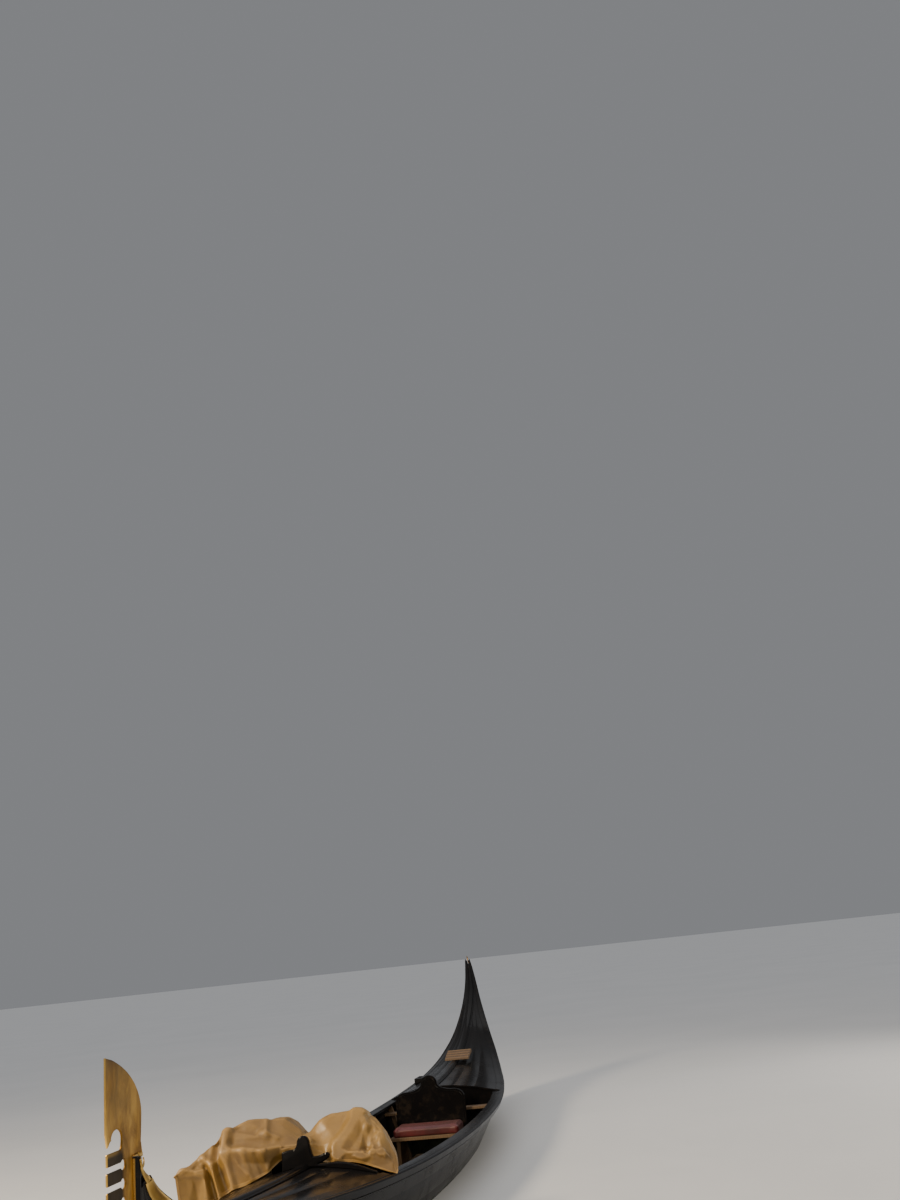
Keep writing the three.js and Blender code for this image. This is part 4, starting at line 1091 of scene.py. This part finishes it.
# The drop on to the port rub rail, the cloth's depth inside the solid cover's face, and its thicknesses
COVER_DROP, COVER_INSIDE, CANVAS_THICK, HEM_THICK = 2.06, 3.0, 1.6, 0.9
COVER_GRID = numpy.array(COVER_ROWS, float) - [0, 0, COVER_DROP]
ROW_STEPS, COLUMN_STEPS = 18, 13
STIFF = 0.72
DRAWN_STRENGTH = 1.5
SLACK_HIGH, SLACK_SCALE, SLACK_START = 3, 0.0042, Vector((3.1, 0, 7.7))
HIGHEST_FOLD, DEEPEST_CARRIED, HIGHEST_NEAR_CREST = 30, 4.8, 12

# Creases: the (row, column) points they run through, their height, and their reach either side
CREASES = [
    ([(2.0, 4.05), (1.55, 4.3), (1.25, 4.45), (0.65, 5.0)], 30, 90, 80),
    ([(2.0, 4.05), (1.9, 5.4), (1.95, 6.4)], 10, 70, 90),
    ([(0.45, 4.95), (0.52, 3.3)], 20, 24, 70),
    ([(0.55, 3.3), (1.05, 1.9)], 20, 26, 90),
    ([(1.5, 3.2), (0.62, 3.2)], -20, 50, 45),
    ([(1.75, 3.6), (0.85, 2.6)], 13, 40, 40),
    ([(1.6, 2.5), (1.05, 1.9)], 16, 60, 40),
    ([(1.6, 2.5), (0.9, 3.0)], -9, 34, 34),
    ([(0.65, 5.0), (0.05, 4.9)], 16, 40, 44),
    ([(0.5, 6.4), (0.05, 5.5)], -14, 40, 40),
    ([(1.9, 6.6), (1.2, 5.9), (0.6, 5.7)], -22, 80, 90),
    ([(1.55, 6.9), (1.25, 6.5)], 14, 34, 34),
    ([(1.9, 11.0), (1.5, 10.95), (1.05, 10.9)], 26, 60, 44),
    ([(1.75, 11.45), (1.05, 11.4), (0.1, 11.25)], -26, 46, 40),
    ([(1.05, 10.9), (1.05, 10.2), (1.0, 9.1), (0.9, 8.0)], 17, 30, 80),
    ([(1.35, 10.6), (1.3, 9.8), (1.3, 8.6)], -10, 40, 40),
    ([(1.05, 10.9), (0.1, 10.8)], 18, 44, 36),
    ([(1.0, 11.65), (0.1, 11.6)], 22, 30, 32),
    ([(0.95, 11.95), (0.1, 11.95)], -24, 36, 34),
    ([(1.0, 12.2), (0.1, 12.3)], 22, 34, 70),
    ([(1.65, 13.3), (1.0, 12.2)], 18, 50, 44),
    ([(1.0, 12.2), (0.1, 13.0)], -12, 44, 60),
    ([(1.65, 12.2), (1.0, 11.65)], 20, 46, 36),
    ([(1.3, 12.6), (1.0, 11.7)], -12, 30, 30),
    ([(1.55, 9.2), (1.35, 8.2)], 6, 40, 30),
    ([(1.85, 10.4), (1.6, 9.5)], -12, 44, 40),
    ([(1.9, 9.0), (1.5, 8.9)], 10, 40, 40),
    ([(1.0, 10.1), (0.1, 9.75)], 7, 34, 30),
    ([(0.9, 9.4), (0.1, 9.2)], -6, 40, 30),
    ([(0.8, 8.5), (0.15, 8.9)], 6, 30, 30),
    ([(0.75, 10.4), (0.3, 9.9)], 6, 18, 18),
    ([(3.0, 4.2), (3.9, 3.4)], 16, 70, 60),
    ([(3.0, 10.2), (4.1, 11.2)], 16, 70, 60),
    ([(2.6, 7.2), (4.6, 7.6)], -20, 90, 90),
    ([(3.4, 12.4), (5.6, 12.8)], 14, 60, 60),
    ([(4.2, 9.2), (5.8, 10.4)], 15, 60, 70),
    ([(4.0, 2.2), (5.6, 3.2)], 14, 70, 60),
    ([(4.3, 5.2), (5.9, 6.3)], 12, 60, 60),
]


def cover_point(u, v):
    """The cloth at a row and a column: partly straight between its points and partly a smooth curve."""
    rows, columns = COVER_GRID.shape[:2]
    i, j = min(int(u), rows - 2), min(int(v), columns - 2)
    s, t = u - i, v - j

    def at(a, b):
        return COVER_GRID[min(max(i + a, 0), rows - 1), min(max(j + b, 0), columns - 1)]

    near = at(0, 0) * (1 - s) + at(1, 0) * s
    far = at(0, 1) * (1 - s) + at(1, 1) * s
    smooth = through(*(through(*(at(a, b) for a in (-1, 0, 1, 2)), s) for b in (-1, 0, 1, 2)), t)
    return (near * (1 - t) + far * t) * STIFF + smooth * (1 - STIFF)


def outward(points):
    """Unit normals of a grid of points, on the cover's upper side."""
    normal = numpy.cross(numpy.gradient(points, axis=0), numpy.gradient(points, axis=1))
    return normal / numpy.linalg.norm(normal, axis=2, keepdims=True)


def crease_height(points, places, line, height, above, below):
    """Height of one tent-shaped crease over a grid of points; places holds each point's row and column."""
    best = numpy.full(points.shape[:2], 1e9)
    side = numpy.zeros(points.shape[:2])
    ends = [cover_point(*p) for p in line]
    for a, b, (row, column), (next_row, next_column) in zip(ends, ends[1:], line, line[1:]):
        run = b - a
        share = numpy.clip(((points - a) @ run) / (run @ run), 0, 1)
        distance = numpy.linalg.norm(points - (a + share[..., None] * run), axis=2)
        turn = (next_row - row) * (places[..., 1] - column) - (next_column - column) * (places[..., 0] - row)
        nearer = distance < best
        best = numpy.where(nearer, distance, best)
        side = numpy.where(nearer, turn, side)
    reach = numpy.where(side > 0, above, below)
    return height * numpy.clip(1 - best / reach, 0, 1)


def random_creases(count, seed):
    """Small chance folds away from the front face: upright where the cloth hangs, any way where it lies."""
    chance = random.Random(seed)
    folds = []
    for _ in range(count):
        u, v = chance.uniform(0.1, 5.8), chance.uniform(0.3, 13.7)
        hangs = u < 1.0 or v < 1.2 or v > 12.6
        angle = chance.gauss(0, 0.35) if hangs else chance.uniform(0, math.pi)
        long = chance.uniform(0.25, 0.75)
        end_u = min(5.95, max(0.02, u + long * math.cos(angle)))
        end_v = min(13.9, max(0.1, v + 2.2 * long * math.sin(angle)))
        reach = chance.uniform(22, 60)
        height = chance.choice((-1, 1, 1)) * chance.uniform(0.08, 0.18) * reach
        other_reach = reach * chance.uniform(0.6, 1.4)
        if u > 1.9 or v < 1.2:
            folds.append(([(u, v), (end_u, end_v)], height, reach, other_reach))
    return folds


def facets(places, count, high, seed):
    """Flat facets between chance corners of uneven height, as in stiff cloth that was once folded small."""
    chance = random.Random(seed)
    corners = [(u, v) for u in (0, 1.5, 3, 4.5, 6) for v in (0, 3.5, 7, 10.5, 14)]
    corners += [(chance.uniform(0, 6), chance.uniform(0, 14)) for _ in range(count)]
    across = 0.45
    found = delaunay_2d_cdt([Vector((u, v * across)) for u, v in corners], [], [], 0, 1e-6)
    points, triangles = found[0], found[2]
    heights = [chance.uniform(-0.5 * high, high) for _ in points]
    lift = numpy.zeros(places.shape[:2])
    x, y = places[..., 0], places[..., 1] * across
    for i, j, k in triangles:
        (ax, ay), (bx, by), (cx, cy) = points[i], points[j], points[k]
        area = (bx - ax) * (cy - ay) - (by - ay) * (cx - ax)
        if abs(area) < 1e-9:
            continue
        wb = ((x - ax) * (cy - ay) - (y - ay) * (cx - ax)) / area
        wc = ((bx - ax) * (y - ay) - (by - ay) * (x - ax)) / area
        wa = 1 - wb - wc
        inside = (wa >= -1e-9) & (wb >= -1e-9) & (wc >= -1e-9)
        lift = numpy.where(inside, wa * heights[i] + wb * heights[j] + wc * heights[k], lift)
    return lift


def smoothed(points):
    for _ in range(3):
        p = numpy.pad(points, ((1, 1), (1, 1), (0, 0)), mode="edge")
        points = (p[:-2, 1:-1] + p[2:, 1:-1] + p[1:-1, :-2] + p[1:-1, 2:] + 4 * points) / 8
    return points


def cover_sheet():
    """The sheet's grid of points, with its creases, facets and slack."""
    rows, columns = COVER_GRID.shape[:2]
    us = numpy.linspace(0, rows - 1, (rows - 1) * ROW_STEPS + 1)
    vs = numpy.linspace(0, columns - 1, (columns - 1) * COLUMN_STEPS + 1)
    places = numpy.array([[(u, v) for v in vs] for u in us])
    points = numpy.array([[cover_point(u, v) for v in vs] for u in us])
    u, v = places[..., 0], places[..., 1]
    lift = numpy.zeros(points.shape[:2])
    for crease in CREASES:
        lift += DRAWN_STRENGTH * crease_height(points, places, *crease)
    for crease in random_creases(26, 11):
        lift += crease_height(points, places, *crease)
    # The front face keeps mostly the drawn creases
    lift += facets(places, 130, 25, 5) * numpy.clip(u - 1.2, 0.3, 1)
    slack = [[noise.noise(Vector(p) * SLACK_SCALE + SLACK_START) for p in row] for row in points]
    lift += SLACK_HIGH * numpy.array(slack)
    # Close to what carries the cloth, folds only stand outwards
    carried = (v < 1.2) | (u > 3.4) | ((u > 2.4) & (v > 10.5))
    near_crest = (u < 1.5) & (v > 6.3) & (v < 8.8)
    lowest = numpy.where(carried, -DEEPEST_CARRIED, -HIGHEST_FOLD)
    highest = numpy.where(near_crest, HIGHEST_NEAR_CREST, HIGHEST_FOLD)
    return points + outward(smoothed(points)) * (numpy.clip(lift, lowest, highest) - COVER_INSIDE)[..., None]


def hem_steps(rows, columns):
    """The grid places round the sheet's edge, each with the two places inside it."""
    edge = [(0, j) for j in range(columns - 1)]
    edge += [(i, columns - 1) for i in range(rows - 1)]
    edge += [(rows - 1, j) for j in range(columns - 1, 0, -1)]
    edge += [(i, 0) for i in range(rows - 1, 0, -1)]
    return [
        [(min(max(i, k), rows - 1 - k), min(max(j, k), columns - 1 - k)) for k in range(3)] for i, j in edge
    ]


def stitch(start, end, normal, off):
    """One stitch between two points of the cloth, or none where they are too close."""
    length = numpy.linalg.norm(end - start)
    if length < 5:
        return []
    run = (end - start) / length
    across = numpy.cross(normal, run)
    middle = (start + end) / 2 + normal * off
    rings = []
    for along, wide, up in ((-4.2, 0.4, 0.1), (-2.1, 1.1, 0.8), (2.1, 1.1, 0.8), (4.2, 0.4, 0.1)):
        section = ((wide, -0.6), (0.6 * wide, up), (-0.6 * wide, up), (-wide, -0.6))
        rings.append([middle + run * along + across * side + normal * rise for side, rise in section])
    return [skin(rings)]


def canvas_cover():
    """The sheet, and its doubled hem with a row of stitches."""
    grid = cover_sheet()
    rows, columns = grid.shape[:2]
    faces = []
    for i in range(rows - 1):
        starts = range(i * columns, (i + 1) * columns - 1)
        faces += [(a, a + columns, a + columns + 1, a + 1) for a in starts]
    shape = (grid.reshape(-1, 3).tolist(), faces)
    cover = piece("canvas_cover", shape, CANVAS, stands_for=["cockpit_cover"], sharp=75)
    thickness = cover.modifiers.new("thickness", "SOLIDIFY")
    thickness.thickness = CANVAS_THICK * MM
    thickness.offset = 0

    normals = outward(grid)
    off = CANVAS_THICK / 2 + HEM_THICK
    steps = hem_steps(rows, columns)
    rings = []
    for places in steps:
        line = [grid[p] for p in places]
        up = [normals[p] * off for p in places]
        line[0] = line[0] + (line[0] - line[1]) / numpy.linalg.norm(line[0] - line[1])
        rings.append([p + n for p, n in zip(line, up)] + [p - n for p, n in zip(line[::-1], up[::-1])])
    parts = [skin(rings, loop=True)]
    middles = [(grid[inner] + grid[inmost]) / 2 for _, inner, inmost in steps]
    for here, start, end in zip(steps, middles, middles[1:]):
        parts += stitch(start, end, normals[here[1]], off)
    return cover, piece("cover_hem", join(parts), CANVAS, sharp=50)


cover, hem = canvas_cover()

# The seat cushion: a sewn leather case, swollen by its filling

CUSHION_X, CUSHION_Y, CUSHION_Z = (-1600, -1246), (-314, 414), (170.8, 243.0)
CUSHION_CORNER, CUSHION_ROUND = 34, 16
SWELL_FRAMES = 20
# In metres: the remesh size, how far a point may swell, and limits just over the bench and ahead of the back
VOXEL, SWELL_CAP, PAD_FLOOR, PAD_WALL = 0.008, 0.020, 0.1706, -1.6065


def cushion_block():
    """A block with rounded edges, from stacked rounded rectangles."""
    (x0, x1), (y0, y1), (z0, z1) = CUSHION_X, CUSHION_Y, CUSHION_Z
    rings = []
    for turn in range(-6, 7):
        angle = math.pi / 2 * turn / 6
        radius = CUSHION_CORNER - CUSHION_ROUND * (1 - math.cos(angle))
        height = (z0 + CUSHION_ROUND) if turn < 0 else (z1 - CUSHION_ROUND)
        height += CUSHION_ROUND * math.sin(angle)
        ring = []
        for quarter, (cx, cy) in enumerate(((x1, y1), (x0, y1), (x0, y0), (x1, y0))):
            mx = cx - math.copysign(CUSHION_CORNER, cx - (x0 + x1) / 2)
            my = cy - math.copysign(CUSHION_CORNER, cy - (y0 + y1) / 2)
            for k in range(7):
                a = math.pi / 2 * (quarter + k / 6)
                ring.append((mx + radius * math.cos(a), my + radius * math.sin(a), height))
        rings.append(ring)
    return skin(rings)


def swell(obj):
    """Blows the case up with cloth under pressure, then holds each point within reach of where it began."""
    remesh = obj.modifiers.new("remesh", "REMESH")
    remesh.mode = "VOXEL"
    remesh.voxel_size = VOXEL
    bpy.context.view_layer.objects.active = obj
    obj.select_set(True)
    bpy.ops.object.modifier_apply(modifier="remesh")
    before = [v.co.copy() for v in obj.data.vertices]
    cloth = obj.modifiers.new("cloth", "CLOTH")
    cloth.settings.use_pressure = True
    cloth.settings.uniform_pressure_force = 4
    cloth.settings.effector_weights.gravity = 0
    cloth.settings.quality = 5
    for number in range(1, SWELL_FRAMES + 1):
        scene.frame_set(number)
    bpy.ops.object.modifier_apply(modifier="cloth")
    scene.frame_set(1)
    for vertex, start in zip(obj.data.vertices, before):
        move = vertex.co - start
        if move.length > SWELL_CAP:
            move = move.normalized() * SWELL_CAP
        place = start + move
        place.z = max(place.z, PAD_FLOOR)
        place.x = max(place.x, PAD_WALL)
        vertex.co = place


cushion = piece("seat_pad", cushion_block(), LEATHER, stands_for=["seat_cushion"], sharp=80)
swell(cushion)
finer = cushion.modifiers.new("finer", "SUBSURF")
finer.levels = finer.render_levels = 1
for polygon in cushion.data.polygons:
    polygon.use_smooth = True

# Raised mouldings on the two locker doors, and battens on the rower's foot rest

PANEL = (-84, 148, 96, 304)
PANEL_PROFILE = ((0, 0), (0, 3), (3, 6), (7, 6.5), (10, 4), (14, 3.5), (16, 0))
LOZENGE_PROFILE = ((1, 0), (1, 2.5), (0.9, 5), (0.6, 5.6), (0.3, 7.5))


def moulding(face, ahead):
    """A rectangular raised moulding with a small lozenge inside it, on a door's cockpit side."""
    y0, y1, z0, z1 = PANEL
    frame_rings, rings = [], []
    for inwards, up in PANEL_PROFILE:
        a, b, c, d = y0 + inwards, y1 - inwards, z0 + inwards, z1 - inwards
        frame_rings.append([(face - ahead * up, y, z) for y, z in ((a, c), (b, c), (b, d), (a, d))])
    for share, up in LOZENGE_PROFILE:
        y, z, wide, high = (y0 + y1) / 2, (z0 + z1) / 2, 62 * share, 48 * share
        corners = ((y + wide, z), (y, z + high), (y - wide, z), (y, z - high))
        rings.append([(face - ahead * up, *corner) for corner in corners])
    return join([skin(frame_rings, loop=True), skin(rings)])


for door, face, ahead in (("bow", FOREDECK_END + 15, 1), ("stern", AFT_DECK_END - 15, -1)):
    piece(f"{door}_door_moulding", moulding(face, ahead), BLACK, body=f"{door}_locker_door", sharp=30)

REST_X = -3350
REST_SLOPE, REST_SQUARE = Vector((-240, 0, 78)).normalized(), Vector((78, 0, 240)).normalized()
BATTEN_SECTION = ((-9, 0.2), (-8, 6), (-5, 8), (5, 8), (8, 6), (9, 0.2))


def foot_rest_battens():
    start = Vector((REST_X, 0, rib_top(REST_X) + 18))
    parts = []
    for along in (22, 92, 162, 232):
        line = [start + REST_SLOPE * (along + run) + REST_SQUARE * up for run, up in BATTEN_SECTION]
        parts.append(skin([[(p.x, y, p.z) for p in line] for y in (-106, 186)]))
    return join(parts)


piece("foot_rest_battens", foot_rest_battens(), WOOD, sharp=30)

# Floor, light and sky

WATER_INSET = 8


def waterline():
    """The hull's outline at the water, a little inside the planking, port side first from the bow."""
    wet = [s for s in STATIONS if s.chine_z < 0 < s.z]
    dry = STATIONS[STATIONS.index(wet[0]) - 1], STATIONS[STATIONS.index(wet[-1]) + 1]
    bow, stern = (
        between(out, s, out.chine_z / (out.chine_z - s.chine_z)) for out, s in zip(dry, (wet[0], wet[-1]))
    )
    loop = []
    for sign in (1, -1):
        side = [(bow.chine_x - 60, sign * (bow.chine_half(sign) - WATER_INSET))]
        for s in wet:
            x, y, _ = s.down(sign, s.z / (s.z - s.chine_z))
            if stern.chine_x + 80 < x < bow.chine_x - 80:
                side.append((x, y - sign * WATER_INSET))
        side.append((stern.chine_x + 60, sign * (stern.chine_half(sign) - WATER_INSET)))
        loop += side if sign > 0 else reversed(side)
    return loop


def floor():
    """A wide pale floor at the waterline, open inside the hull."""
    inner = waterline()
    middle = sum(x for x, _ in inner) / len(inner)
    rings = []
    for reach in (0, 20, 400, 4000, 40000, 400000):
        away = [Vector((x - middle, 3 * y)).normalized() * reach for x, y in inner]
        rings.append([((x + a.x) * MM, (y + a.y) * MM, 0) for (x, y), a in zip(inner, away)])
    points, faces = skin(rings)
    mesh = bpy.data.meshes.new("floor")
    mesh.from_pydata(points, [], faces[:-2])
    mesh.materials.append(floor_paint())
    obj = bpy.data.objects.new("floor", mesh)
    scene.collection.objects.link(obj)


floor()


def light(name, kind, energy, **settings):
    data = bpy.data.lights.new(name, kind)
    data.energy = energy
    for key, value in settings.items():
        setattr(data, key, value)
    obj = bpy.data.objects.new(name, data)
    scene.collection.objects.link(obj)
    return obj


for name, place, aim, size, power, color in (
    ("key", (7.5, -7.5, 7.0), (2.5, 0, 0.6), 2.6, 2000, (1.0, 0.82, 0.58)),
    ("fill", (13.0, 3.6, 4.6), (3.5, 0, 0.6), 4, 420, (1.0, 0.86, 0.64)),
    ("back", (-5.0, 8.5, 5.0), (2, 0, 0.6), 6, 380, (1.0, 0.92, 0.80)),
):
    lamp = light(name, "AREA", power, shape="DISK", size=size, color=color)
    lamp.location = place
    lamp.rotation_euler = (Vector(aim) - Vector(place)).to_track_quat("-Z", "Y").to_euler()
light("sky", "SUN", 1.0, angle=math.radians(70))

world = bpy.data.worlds.new("studio")
scene.world = world
world.use_nodes = True
background = world.node_tree.nodes["Background"].inputs
background[0].default_value = (0.78, 0.80, 0.84, 1)
background[1].default_value = 0.28
